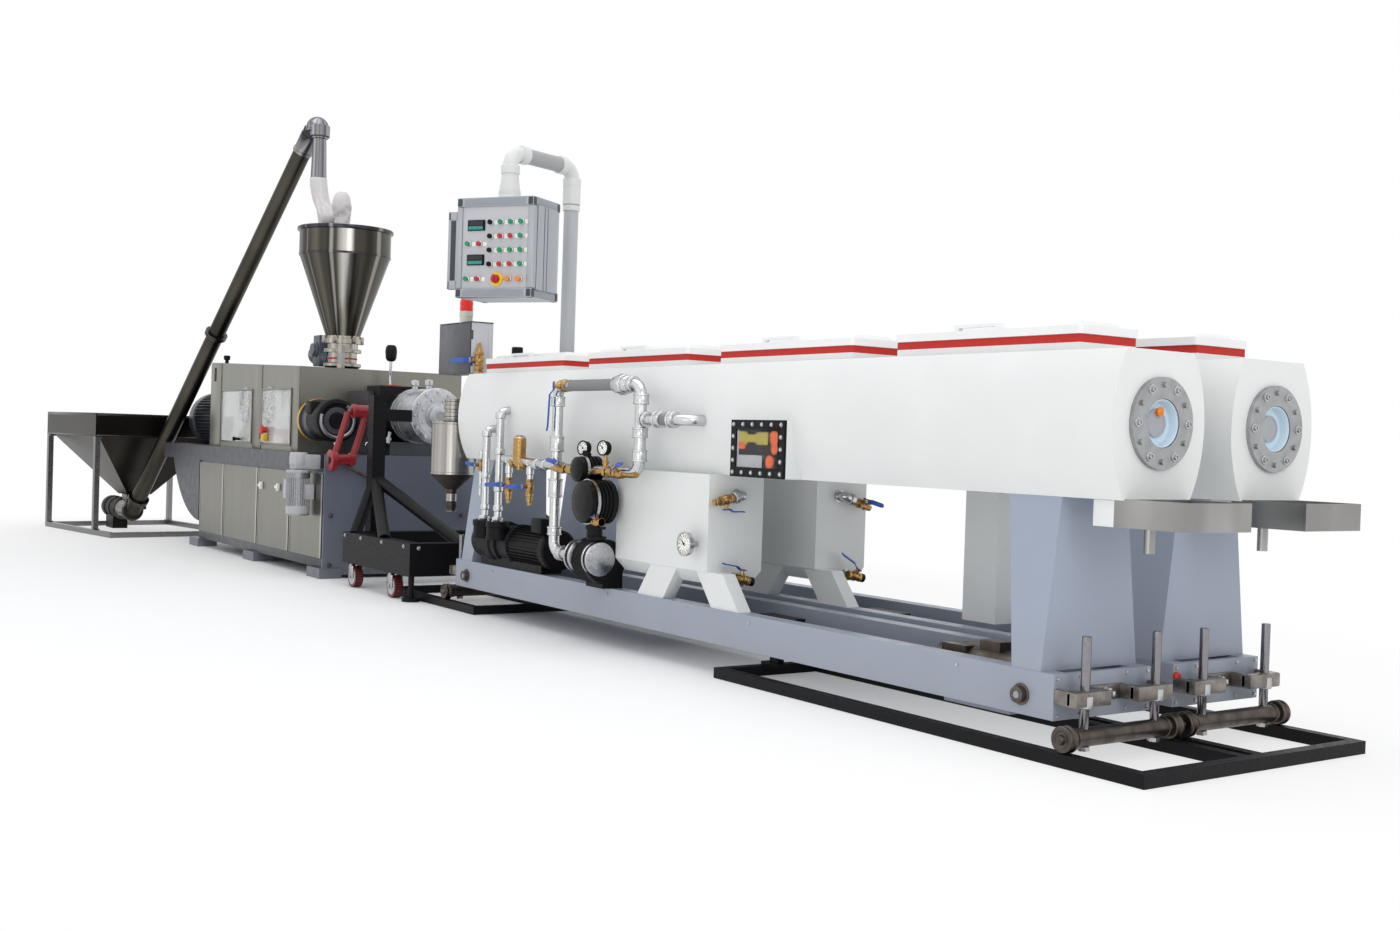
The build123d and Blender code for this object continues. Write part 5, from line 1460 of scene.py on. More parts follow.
class LINE_OT_window_details(bpy.types.Operator):
    """Bolts of the inspection window, its clear sheet and the guides behind it"""

    bl_idname = "line.window_details"
    bl_label = "Inspection window details"

    def execute(self, context):
        body = "tank_1"
        (x0, x1), (z0, z1) = WINDOW
        y = WINDOW_Y
        # Black for the painted shade inside the tank, seen through the window
        LOOKS["window_shade_black"] = matt_black("window_inside_painted_shade", linear("#16141A"))
        LOOKS["guide_yellow"] = moulded("guide_yellow_nylon", linear("#A99A28"), 0.34)
        LOOKS["guide_orange"] = moulded("guide_orange_nylon", linear("#DC5A00"), 0.34)
        edge = 17
        heads = []
        for i in range(6):
            x = x0 + edge + i * (x1 - x0 - 2 * edge) / 5
            heads += [(x, y, z0 + edge), (x, y, z1 - edge)]
        for i in range(1, 4):
            z = z0 + edge + i * (z1 - z0 - 2 * edge) / 4
            heads += [(x0 + edge, y, z), (x1 - edge, y, z)]
        finish(bolts(heads, NEAR, 6.5, 5), "window_bolts", "zinc_plate", body)
        floor = y + 6
        # A dark sheet behind the guides is painted shade, standing for the dark inside of the tank
        back = slab((x0 + 34, x1 - 34), (floor - 1, floor), (z0 + 34, z1 - 34), 0)
        finish(back, "window_back", "window_shade_black", body)
        orange = [rod((x, floor - 1, z), NEAR, ((0, r), (2.4, r), (2.8, r - 2), (2.8, r * 0.4)), 32)
                  for x, z, r in ((-1528, 924, 26), (-1524, 884, 20), (-1552, 836, 24))]
        orange.append(slab((-1746, -1706), (floor - 2.6, floor - 1), (880, 906), 0.6))
        finish(orange, "window_orange_guides", "guide_orange", body)
        yellow = [slab((-1746, -1694), (floor - 2.2, floor - 1), (896, 946), 0.5),
                  slab((-1700, -1632), (floor - 2.4, floor - 1), (907, 935), 0.5),
                  slab((-1638, -1566), (floor - 2.2, floor - 1), (898, 944), 0.5)]
        finish(yellow, "window_yellow_guides", "guide_yellow", body)
        grey = [slab((-1758, -1746), (floor - 2, floor - 1), (812, 950), 0.4),
                slab((-1746, -1600), (floor - 2, floor - 1), (812, 858), 0.4)]
        finish(grey, "window_grey_guides", "disc", body)
        pane = slab((x0 + 33, x1 - 33), (y + 0.6, y + 1.6), (z0 + 33, z1 - 33), 0)
        finish(pane, "window_pane", "acrylic", body)
        rim = [slab((x0 + 30, x1 - 30), (y - 1.6, y), (z, z + 5), 0.6) for z in (z0 + 30, z1 - 35)]
        rim += [slab((x, x + 5), (y - 1.6, y), (z0 + 30, z1 - 30), 0.6) for x in (x0 + 30, x1 - 35)]
        finish(rim, "window_rim", "black_plastic", body)
        return {"FINISHED"}


# Extruder

LINE_Y = TANK_PITCH / 2
GUARD_Y = -288.5
GUARD_WINDOWS = ((-8019, -7351), (-7128, -6565))
GUARD_GEARS = (-7490, -6985)
PANEL_EDGES = (-8400, -7815, -7067, -6437, -5850)
LATCHES = ((-6994, 513), (-6657, 515), (-6394, 514))


class LINE_OT_guard_details(bpy.types.Operator):
    """Clear windows with the gear covers behind them, the corner post and the switches of the guard"""

    bl_idname = "line.guard_details"
    bl_label = "Guard details"

    def execute(self, context):
        body, y = "line_base", GUARD_Y
        LOOKS["pale_sheet"] = powder_coat("window_pale_enamel", linear("#C9CACB"), 0.3)
        frames, backs, panes, rings = [], [], [], []
        for x0, x1 in GUARD_WINDOWS:
            backs.append(slab((x0, x1), (y - 1.5, y), (790, 1150), 0))
            panes.append(slab((x0 + 2, x1 - 2), (y - 8, y - 6), (796, 1144), 0.4))
            for z in (784, 1146):
                frames.append(slab((x0 - 10, x1 + 10), (y - 9, y), (z, z + 12), 2))
            for x in (x0 - 10, x1 - 2):
                frames.append(slab((x, x + 12), (y - 9, y), (796, 1146), 2))
        for x in GUARD_GEARS:
            rings.append(rod((x, y, 1048), NEAR, (
                (0, 124), (4, 124), (5, 122), (5, 112), (2, 110), (2, 40), (4, 38), (5, 20)), 56))
        # The corner post is a folded upright with a long slot whose shade is painted as a dark block, and a
        # plain one stands at the far end
        frames.append(slab((-8304, -8062), (y - 5, y), (752, 1352), 2))
        frames.append(slab((-7330, -7150), (y - 4, y), (752, 1318), 1.5))
        frames.append(slab((-6540, -6421), (y - 4, y), (752, 1290), 1.5))
        finish(frames, "guard_frames", "warm_grey_sheet", body)
        finish(backs, "guard_window_backs", "pale_sheet", body)
        finish(panes, "guard_window_panes", "wiped_acrylic", body)
        finish(rings, "guard_gear_covers", "zinc_plate", body)
        # The first block is painted shade: it stands for the dark inside of the corner post's slot
        dark = [slab((-8224, -8178), (y - 7, y - 4), (1222, 1322), 1),
                rod((-8242, -200, 1352), UP, (
                    (0, 26), (8, 26), (10, 14), (30, 12), (36, 22), (60, 24), (66, 18)), 24),
                slab((-7600, -7545), (y - 34, y - 12), (802, 820), 3),
                rod((-7572, y - 14, 812), NEAR, ((0, 9), (26, 9), (30, 14), (46, 14), (48, 10)), 20),
                slab((-7128, -7104), (y - 20, y - 4), (820, 900), 3)]
        finish(dark, "guard_black_fittings_and_slot_shade", "black_plastic", body)
        box = slab((-7036, -6980), (y - 42, y - 12), (806, 858), 4)
        LOOKS["stop_yellow"] = moulded("stop_box_yellow_nylon", linear("#D9AE2A"), 0.34)
        finish(box, "stop_box", "stop_yellow", body)
        cap = rod((-7006, y - 12, 882), NEAR, ((0, 20), (24, 20), (26, 30), (38, 30), (44, 22)), 28)
        finish(cap, "stop_button", "red_plastic", body)
        return {"FINISHED"}


class LINE_OT_cabinet_details(bpy.types.Operator):
    """Latches, folded edges and dark plinth of the cabinet"""

    bl_idname = "line.cabinet_details"
    bl_label = "Cabinet details"

    def execute(self, context):
        body = "line_base"
        # The folds are of the cabinet's own brushed sheet, made lighter in colour as painted highlights along
        # them
        LOOKS["fold_highlight"] = brushed_steel("cabinet_fold_painted_highlight", linear("#BDBBB4"), "Z", 0.36, 0.03)
        folds, plinth, handles = [], [], []
        for side in (-1, 1):
            face = LINE_Y + side * 600
            span = sorted((face, face + side * 3))
            for left, right in zip(PANEL_EDGES[:-1], PANEL_EDGES[1:]):
                folds.append(slab((right - 34, right - 11), span, (119, 627), 1))
                folds.append(slab((left + 11, left + 19), span, (119, 627), 1))
            plinth.append(slab((PANEL_EDGES[0] - 2, PANEL_EDGES[-1]),
                               sorted((face - side * 11, face - side * 4)), (62, 117), 1))
            for x, z in LATCHES:
                handles.append(slab((x - 40, x + 16), sorted((face, face + side * 14)), (z - 9, z + 9), 2.5))
                handles.append(slab((x + 8, x + 34), sorted((face, face + side * 20)), (z - 24, z + 24), 4))
        finish(folds, "cabinet_folded_edges", "fold_highlight", body)
        finish(plinth, "cabinet_plinth", "dark_grey_paint", body)
        finish(handles, "cabinet_latches", "dial_white", body)
        heads = bolts([(-5813, LINE_Y + y, z) for y in (-560, -300, 300, 560) for z in (80, 380, 700)],
                      RIGHT, 11, 7)
        finish(heads, "cabinet_bolts", "bare_steel", body)
        return {"FINISHED"}


MAIN_MOTOR = (40, 945)
SIDE_MOTOR = (-6045, -413.5)


class LINE_OT_motor_details(bpy.types.Operator):
    """Fins, fan cowl, end bell and terminal box of the main motor"""

    bl_idname = "line.motor_details"
    bl_label = "Motor details"

    def execute(self, context):
        body = "line_base"
        y, z = MAIN_MOTOR
        LOOKS["motor_blue"] = powder_coat("motor_dark_blue_enamel", linear("#343A44"), 0.32)
        fin = slab((-9180, -8520), (y - 2, y + 2), (z + 186, z + 210), 0)
        made = [spun(fin, (0, y, z), [7.5 * i for i in range(48)]),
                rod((-8500, y, z), RIGHT, ((0, 205), (6, 212), (60, 212), (66, 202), (190, 198)), 56),
                rod((-9300, y, z), RIGHT, ((-4, 150), (0, 200), (8, 212), (110, 212), (116, 198)), 56),
                rod((-9300, y, z), LEFT, ((0, 150), (120, 146), (128, 100), (236, 98), (246, 86)), 44),
                slab((-8960, -8720), (y - 90, y + 90), (z + 190, z + 300), 10)]
        finish(made, "main_motor_castings", "motor_blue", body)
        heads = bolts(around((-9304, y, z), 176, range(15, 360, 60)), LEFT)
        finish(heads, "main_motor_bolts", "zinc_plate", body)
        return {"FINISHED"}


class LINE_OT_side_motor(bpy.types.Operator):
    """Ribs, fan cowl, gear head and terminal box of the motor that hangs beside the cabinet"""

    bl_idname = "line.side_motor"
    bl_label = "Side motor"

    def execute(self, context):
        body = "line_base"
        x, y = SIDE_MOTOR
        LOOKS["silver_paint"] = powder_coat("motor_silver_enamel", linear("#B4B5B9"), 0.26)
        fin = slab((x + 62, x + 71), (y - 1.5, y + 1.5), (426, 596), 0)
        made = [rod((x, y, 740), DOWN, (
                    (-14, 50), (0, 56), (60, 56), (62, 50), (92, 50), (92, 72), (108, 72), (110, 65),
                    (140, 65)), 36, 0.8),
                rod((x, y, 424), DOWN, (
                    (-6, 66), (0, 71.5), (10, 71.5), (48, 70), (54, 64), (55, 40)), 36, 0.8),
                slab((x - 52, x + 52), (y - 40, y + 120), (650, 742), 8),
                slab((x - 96, x - 44), (y - 62, y + 6), (468, 588), 7),
                slab((x + 8, x + 64), (y + 18, y + 80), (468, 562), 6),
                spun(fin, (x, y, 0), range(0, 360, 12), "Z")]
        finish(made, "side_motor_castings", "silver_paint", body)
        heads = bolts(around((x, y, 633), 60, range(45, 360, 90), "Z"), DOWN, 6, 6)
        finish(heads, "side_motor_bolts", "zinc_plate", body)
        return {"FINISHED"}


HOPPER = (-7160, LINE_Y)


class LINE_OT_hopper_details(bpy.types.Operator):
    """Rolled rim, seam band, clamps and red gaskets of the hopper, its throat and its sight tube"""

    bl_idname = "line.hopper_details"
    bl_label = "Hopper details"

    def execute(self, context):
        body = "line_base"
        x, y = HOPPER
        axis = at(x, y, 0)
        # Painted reflections in bands on the throat and the rim; the rim's dark colour stands for the dark
        # shop that it mirrors
        LOOKS["clamp_steel"] = rolled_steel("throat_polished_stainless", linear("#A9A39A"), axis, 0.35, 1.4)
        LOOKS["rim_steel"] = rolled_steel("hopper_rim_stainless", linear("#3F4045"), axis, 0.5, 1.5)
        rim = [rod((x, y, 2262), UP, (
                   (0, 310.5), (4, 324), (10, 326), (24, 326), (28.2, 321), (28.3, 250)), 72),
               rod((x, y, 2100), UP, ((-5, 308), (-4, 312.5), (8, 312.8), (10, 310.2)), 72)]
        finish(rim, "hopper_rim", "rim_steel", body)
        throat = [rod((x, y, 1204), UP, (
            (0, 96), (118, 96), (120, 108), (134, 128), (150, 128), (152, 108), (160, 98), (228, 98),
            (230, 128), (246, 128), (250, 104), (262, 104), (290, 104), (292, 128), (326, 128), (328, 118),
            (344, 118)), 56)]
        throat += [rod(place, UP, ((0, 12), (6, 16), (48, 16), (54, 12)), 16)
                   for place in around((x, y, 1494), 128, range(15, 360, 60), "Z")]
        throat.append(rod((-7030, y - 60, 1322), UP, (
            (0, 28), (26, 28), (26, 20), (104, 20), (104, 28), (150, 28), (152, 22)), 28))
        finish(throat, "throat_and_clamps", "clamp_steel", body)
        red = [rod((x, y, z), UP, ((0, 99), (0, 101), (11, 101), (11, 99)), 48) for z in (1386, 1220)]
        finish(red, "throat_gaskets", "seal_silicone", body)
        sight = rod((-7030, y - 60, 1350), UP, ((0, 24), (72, 24)), 24)
        LOOKS["amber"] = moulded("sight_amber_acrylic", linear("#D98F3A"), 0.16)
        finish(sight, "sight_tube", "amber", body)
        grey = [slab((x - 332, x - 208), (y - 92, y + 62), (1343, 1562), 8),
                rod((x - 332, y - 20, 1430), LEFT, (
                    (0, 60), (0, 76), (10, 76), (14, 70), (92, 73), (97, 62), (98, 30)), 36),
                rod((x - 270, y - 90, 1460), NEAR, ((0, 54), (12, 54), (16, 46), (34, 42), (36, 20)), 36),
                rod((x - 208, y - 20, 1400), RIGHT, (
                    (0, 66), (14, 66), (16, 61.5), (100, 61.5), (108, 66), (120, 66)), 32)]
        LOOKS["gear_grey"] = powder_coat("gear_motor_grey_enamel", linear("#59606D"), 0.32)
        finish(grey, "stirrer_gear_motor", "gear_grey", body)
        return {"FINISHED"}


SIDE_GEAR = (-165, 955)


class LINE_OT_gearbox_details(bpy.types.Operator):
    """Yellow motor flange, black hub castings, the grey pipe bent round them and the oil line"""

    bl_idname = "line.gearbox_details"
    bl_label = "Gearbox details"

    def execute(self, context):
        body = "line_base"
        y, z = SIDE_GEAR
        LOOKS["flange_yellow"] = powder_coat("flange_yellow_enamel", linear("#D9A51E"), 0.34)
        yellow = rod((-6419, y, z), RIGHT, ((0, 132), (2, 137), (24, 137), (26, 134)), 48)
        finish(yellow, "side_flange_yellow", "flange_yellow", body)
        black = [rod((-6384, y, z), RIGHT, (
            (0, 90), (3, 96), (86, 96), (90, 123), (206, 123), (210, 132), (296, 136), (312, 132),
            (316, 112), (306, 96), (300, 60), (302, 52), (324, 48)), 52),
            slab((-6300, -6200), (y - 128, y - 60), (z + 40, z + 118), 8),
            slab((-6206, -5988), (70, 470), (846, 1186), 10),
            slab((-6160, -5850), (90, 452), (700, 832), 8)]
        finish(black, "side_gear_castings", "black_coat", body)
        grey = bent(around((-6068, y, z), 108, range(-200, 61, 20)), 14)
        LOOKS["conduit"] = galvanised("conduit_bare_steel", linear("#8A8C90"), 0.3)
        finish(grey, "cooling_conduit", "conduit", body)
        pipes = []
        for i in range(4):
            x = -6060 + i * 70
            pipes.append(rod((x, 40 + i * 12, 826), (0, 0.2, 1), (
                (0, 12), (18, 12), (18, 18), (34, 18), (34, 12), (70, 12)), 12))
            pipes.append(collar((x + 14, 20, 812), RIGHT, 26, 17, 6))
        pipes.append(rod((-6110, 20, 812), RIGHT, ((0, 11), (300, 11)), 20))
        pipes.append(rod((-6100, y, z), UP, ((-150, 10), (-112, 10)), 16))
        finish(pipes, "oil_line_fittings", "zinc_plate", body)
        return {"FINISHED"}


BARREL_Z = 1000


class LINE_OT_barrel_details(bpy.types.Operator):
    """Bands of the barrel's cover, the bright die face with its bolts, the nipples and the pressure gauge"""

    bl_idname = "line.barrel_details"
    bl_label = "Barrel details"

    def execute(self, context):
        body, y, z = "line_base", LINE_Y, BARREL_Z
        LOOKS["die_face"] = lathe_steel("die_face_turned_steel", linear("#C3C5CA"), at(0, y, z))
        # The cover's dark colour is a painted reflection of the dark shop in its stainless
        LOOKS["band_steel"] = brushed_steel("barrel_cover_stainless", linear("#6E6F7C"), "X", 0.24, 0.08)
        cover = rod((-5985, y, z), RIGHT, ((0, 160), (2, 166.5), (90, 166.5)), 64)
        finish(cover, "barrel_cover_sheet", "band_steel", body)
        bands = [rod((x, y, z), RIGHT, ((0, 166), (1, 170), (15, 170), (16, 166)), 64)
                 for x in (-5896, -5850, -5800)]
        bands.append(rod((-5782, y, z), RIGHT, (
            (0, 165.5), (2, 168), (120, 168), (124, 172), (214, 172), (218, 166), (218, 128), (221, 126),
            (221, 64)), 72))
        bands.append(rod((-5566, y, z), RIGHT, (
            (0, 62), (0, 78), (12, 78), (14, 72), (14, 61.5), (40, 61.5), (42, 58), (42, 30), (30, 28)), 48))
        finish(bands, "die_rings", "die_face", body)
        heads = bolts(around((-5564, y, z), 147, range(0, 360, 30))
                      + around((-5562, y, z), 100, range(22, 360, 45)), RIGHT, height=8)
        finish(heads, "die_bolts", "zinc_plate", body)
        nipples = [rod((x, y, 1163), UP, (
            (0, 26), (6, 26), (8, 18), (26, 18), (28, 26), (58, 26), (62, 18), (64, 8)), 8, 1)
            for x in (-5909, -5700)]
        finish(nipples, "barrel_nipples", "zinc_plate", body)
        x = -6302
        cap = rod((x, y, 1352), UP, ((0, 14), (6, 26), (20, 34), (64, 38), (92, 34), (106, 24), (108, 8)), 32)
        finish(cap, "melt_gauge_cap", "black_plastic", body)
        stalk = bent([(x, y, 1356), (x, y, 1300), (x - 14, y, 1250), (x + 2, y, 1200), (x + 2, y, 1148)], 9)
        finish(stalk, "melt_gauge_stalk", "zinc_plate", body)
        plug = [slab((-6262, -6204), (y - 34, y + 34), (1149, 1200), 6),
                rod((-6234, y - 34, 1184), NEAR, ((0, 18), (20, 18), (24, 12)), 20)]
        finish(plug, "melt_gauge_plug", "red_plastic", body)
        return {"FINISHED"}


class LINE_OT_arm_joints(bpy.types.Operator):
    """Pins, eyes and the dark steady rod of the red link arms"""

    bl_idname = "line.arm_joints"
    bl_label = "Link arm joints"

    def execute(self, context):
        body, x = "line_base", -5766
        red = [rod((x, -196, 1015), FAR, (
                   (0, 34), (4, 42), (26, 42), (30, 37), (112, 37), (116, 42), (134, 42), (138, 36)), 32),
               rod((x, -328, 716), FAR, ((0, 50), (4, 64), (34, 64), (38, 56)), 40),
               rod((x, -206, 722), FAR, ((0, 34), (4, 40), (26, 40), (30, 34)), 28),
               rod((x, -218, 1002), (0, -0.285, -0.958), (
                   (0, 22), (12, 20), (150, 18), (270, 21), (290, 26)), 12, 1),
               rod((x, -104, 998), (0, -0.28, -0.96), (
                   (0, 22), (12, 20), (150, 18), (262, 21), (280, 24)), 12, 1)]
        finish(red, "link_arm_castings", "red_paint", body)
        pins = [rod((x, -331, 716), NEAR, ((-2, 16), (3, 24), (9, 24), (12, 18)), 6),
                rod((x, -198, 1015), NEAR, ((-2, 16), (3, 22), (9, 22), (12, 16)), 6)]
        finish(pins, "link_arm_pins", "bare_steel", body)
        steady = rod((x, -265, 700), (0, 330, -150), (
            (0, 15), (10, 15), (12, 12.5), (350, 12.5), (352, 16), (368, 16)), 20)
        finish(steady, "steady_rod", "bare_steel", body)
        return {"FINISHED"}


CASTERS = [(x, LINE_Y + side * 585) for x in (-5330, -4765) for side in (-1, 1)]


class LINE_OT_trolley_details(bpy.types.Operator):
    """Red tyres and bright forks of the casters, and the bolts and clamp of the trolley"""

    bl_idname = "line.trolley_details"
    bl_label = "Trolley details"

    def execute(self, context):
        body = "line_base"
        LOOKS["tyre_red"] = moulded("tyre_red_polyurethane", linear("#7E3438"), 0.4)
        LOOKS["wheel_grey"] = moulded("wheel_grey_nylon", linear("#B9BCC2"), 0.34)
        tyres, hubs, forks = [], [], []
        for x, y in CASTERS:
            tyres.append(rod((x, y - 23, 62), FAR, (
                (0, 44), (0, 58), (4, 62), (42, 62), (46, 58), (46, 44)), 44))
            for side in (-1, 1):
                hubs.append(rod((x, y + side * 22, 62), (0, side, 0), (
                    (0, 46), (2, 46), (3.4, 40), (2, 36), (2, 20), (8, 17), (10, 12)), 32))
                forks.append(slab((x - 30, x + 30), sorted((y + side * 25.5, y + side * 33)), (52, 134), 3))
            forks.append(rod((x, y, 122), UP, ((0, 34), (4, 38), (8, 38), (12.3, 34)), 28))
            forks.append(rod((x, y - 38, 62), FAR, (
                (0, 12), (5, 12), (5, 8), (71, 8), (71, 12), (76, 12)), 6))
        finish(tyres, "caster_tyres", "tyre_red", body)
        finish(hubs, "caster_hubs", "wheel_grey", body)
        finish(forks, "caster_forks", "zinc_plate", body)
        heads = []
        for x in (-5440, -5200, -4900, -4600):
            for side in (-1, 1):
                heads.append(bolts([(x, LINE_Y + side * 611, 290)], (0, side, 0)))
        for y in (-290, 0, LINE_Y, 540, 830):
            heads.append(bolts([(-4520, y, 285)], RIGHT))
        finish(heads, "trolley_bolts", "zinc_plate", body)
        return {"FINISHED"}


# Loader

TUBE_LOW = Vector((-9945, -425, 175))
TUBE_HIGH = Vector((-7540, 150, 3020))
HEAD = (-7450, 170)
HEAD_OUTLET = 2645
LOADER_CORNER = Vector((-10670, -958, 0))
LOADER_SIZE = 1080
LOADER_RIM = 967
LOADER_SKIRT = 780
LOADER_MOVE = turn_about(LOADER_CORNER, 8, "Z")
TUBE_WAY = (TUBE_HIGH - TUBE_LOW).normalized()
TUBE_REACH = (TUBE_HIGH - TUBE_LOW).length


def loader_slab(x, y, z, edge=1.0):
    """A block in the loader's own millimetres, from its near left corner on the floor."""
    return slab([LOADER_CORNER.x + v for v in x], [LOADER_CORNER.y + v for v in y], z, edge)


class LINE_OT_loader_details(bpy.types.Operator):
    """Rolled rim, ledge and corner folds of the loader's hopper, its flanges, hood and drive"""

    bl_idname = "line.loader_details"
    bl_label = "Loader details"

    def execute(self, context):
        body, size = "line_base", LOADER_SIZE
        # The rim's and the tube flanges' dark colour is a painted reflection of the dark shop
        LOOKS["rim_dark"] = brushed_steel("loader_rim_stainless", linear("#55534F"), "X", 0.24, 0.04)
        rim = []
        proud = 0.2
        across = (-proud, size + proud)
        for edge in ((-proud, 12), (size - 12, size + proud)):
            for z in ((LOADER_RIM - 22, LOADER_RIM + 2), (LOADER_SKIRT + 1, LOADER_SKIRT + 17)):
                rim.append(loader_slab(across, edge, z, 3))
                rim.append(loader_slab(edge, across, z, 3))
        finish(moved(joined(rim), LOADER_MOVE), "loader_hopper_rim", "rim_dark", body)
        plates = []
        corners = ((0.3, 54), (size - 54, size - 0.3))
        for x in corners:
            for y in corners:
                plates.append(loader_slab(x, y, (LOADER_SKIRT - 14, LOADER_SKIRT - 1), 2))
                plates.append(loader_slab(x, y, (40, 47), 2))
        finish(moved(joined(plates), LOADER_MOVE), "loader_frame_plates", "frame_steel", body)
        rings = [rod(TUBE_LOW + TUBE_WAY * TUBE_REACH * share, TUBE_WAY, (
            (-16, 63), (-15, 84), (-2, 84), (-1, 80), (1, 80), (2, 84), (15, 84), (16, 63)), 44)
            for share in (0.035, 0.5)]
        rings.append(rod(TUBE_LOW + Vector((-330, 0, 0)), RIGHT, (
            (-10, 70), (-8, 92), (10, 92), (12, 78), (300, 76.5), (304, 88), (322, 88), (326, 74)), 44))
        finish(rings, "screw_tube_flanges", "rim_dark", body)
        self.hood(body)
        self.drive(body)
        return {"FINISHED"}

    def hood(self, body):
        """Bright hood at the top of the screw tube and its flanged discharge pipe."""
        # Painted reflections in bands on the hood
        LOOKS["hood_steel"] = rolled_steel(
            "hood_polished_stainless", linear("#8B8B90"), at(*HEAD, 0), 0.2, 1.5)
        x, y = HEAD
        made = [rod((x, y, HEAD_OUTLET), UP, (
            (0, 50), (2, 58), (14, 58), (16, 55), (300, 47), (304, 58), (318, 58), (322, 69), (394, 69.5),
            (398, 64)), 48)]
        made.append(rod(TUBE_HIGH, TUBE_WAY, (
            (-190, 63), (-188, 70), (-168, 70), (-166, 64.5), (-40, 66)), 44))
        alone()
        bpy.ops.mesh.primitive_uv_sphere_add(
            segments=40, ring_count=20, radius=0.0785, location=at(x - 30, y - 6, 3029.5))
        dome = bpy.context.object
        bpy.ops.object.mode_set(mode="EDIT")
        pick(lambda middle, normal: normal.z < -0.2)
        bpy.ops.mesh.delete(type="FACE")
        bpy.ops.object.mode_set(mode="OBJECT")
        thick = dome.modifiers.new("wall", "SOLIDIFY")
        thick.thickness = 0.002
        alone(dome)
        bpy.ops.object.modifier_apply(modifier="wall")
        made.append(dome)
        made.append(rod((x - 30, y - 6, 3002), UP, ((0, 78), (1, 82), (12, 82), (13, 78)), 48))
        finish(made, "loader_hood", "hood_steel", body)

    def drive(self, body):
        x, y, z = TUBE_LOW + Vector((-330.3, 0, 0))
        made = [rod((x, y, z), LEFT, (
                    (-2, 70), (0, 94), (14, 94), (18, 86), (110, 86), (114, 93), (128, 93), (132, 84),
                    (240, 84)), 40),
                rod((x - 370, y, z), LEFT, ((-86, 80), (-82, 92), (-4, 92), (6, 84), (8, 40)), 40)]
        fin = slab((x - 344, x - 240), (y - 1.6, y + 1.6), (z + 82, z + 94), 0)
        made.append(spun(fin, (x, y, z), range(0, 360, 15)))
        finish(made, "loader_drive_castings", "black_coat", body)


SLEEVE_SPOT = (-7330, 190)
VENT_SPOT = (-7090, 215)
COLLAR_TOP = 2324
SOCK_SIDES = 40
CLOTH_FRAMES = 20
CLOTH_REACH = 0.012


def sock(rings):
    """A film tube from rings of (centre, radius, fold depth) in millimetres, its wall one quad grid."""
    mesh = bmesh.new()
    loops = []
    for step, (centre, radius, fold) in enumerate(rings):
        loop = []
        for i in range(SOCK_SIDES):
            angle = 2 * pi * i / SOCK_SIDES
            crease = fold * (sin(7 * angle + step * 0.35) + 0.6 * sin(11 * angle - step * 0.5))
            reach = radius + crease
            place = at(centre[0] + reach * cos(angle), centre[1] + reach * sin(angle), centre[2])
            loop.append(mesh.verts.new(place))
        loops.append(loop)
    for low, high in zip(loops, loops[1:]):
        for i in range(SOCK_SIDES):
            j = (i + 1) % SOCK_SIDES
            mesh.faces.new((low[i], low[j], high[j], high[i]))
    data = bpy.data.meshes.new("sock")
    mesh.to_mesh(data)
    mesh.free()
    piece = bpy.data.objects.new("sock", data)
    bpy.context.scene.collection.objects.link(piece)
    return piece


def soften(piece, pinned):
    """Lets the film settle as cloth with its pinned rings held, and gives it a thin wall."""
    alone(piece)
    group = piece.vertex_groups.new(name="held")
    group.add([v.index for v in piece.data.vertices if pinned(v.co)], 1.0, "REPLACE")
    start = [v.co.copy() for v in piece.data.vertices]
    cloth = piece.modifiers.new("film", "CLOTH")
    cloth.settings.quality = 6
    cloth.settings.mass = 0.05
    cloth.settings.tension_stiffness = 8
    cloth.settings.compression_stiffness = 4
    cloth.settings.bending_stiffness = 0.4
    cloth.settings.vertex_group_mass = "held"
    cloth.settings.use_pressure = True
    cloth.settings.uniform_pressure_force = 0.6
    for number in range(1, CLOTH_FRAMES + 1):
        bpy.context.scene.frame_set(number)
    alone(piece)
    bpy.ops.object.modifier_apply(modifier="film")
    bpy.context.scene.frame_set(1)
    for vert, was in zip(piece.data.vertices, start):
        shift = vert.co - was
        if shift.length > CLOTH_REACH:
            vert.co = was + shift.normalized() * CLOTH_REACH
    wall = piece.modifiers.new("wall", "SOLIDIFY")
    wall.thickness = 0.0006
    wall.offset = 0
    smooth = piece.modifiers.new("smooth", "SUBSURF")
    smooth.levels = smooth.render_levels = 1
    alone(piece)
    bpy.ops.object.modifier_apply(modifier="smooth")
    bpy.ops.object.modifier_apply(modifier="wall")
    return piece


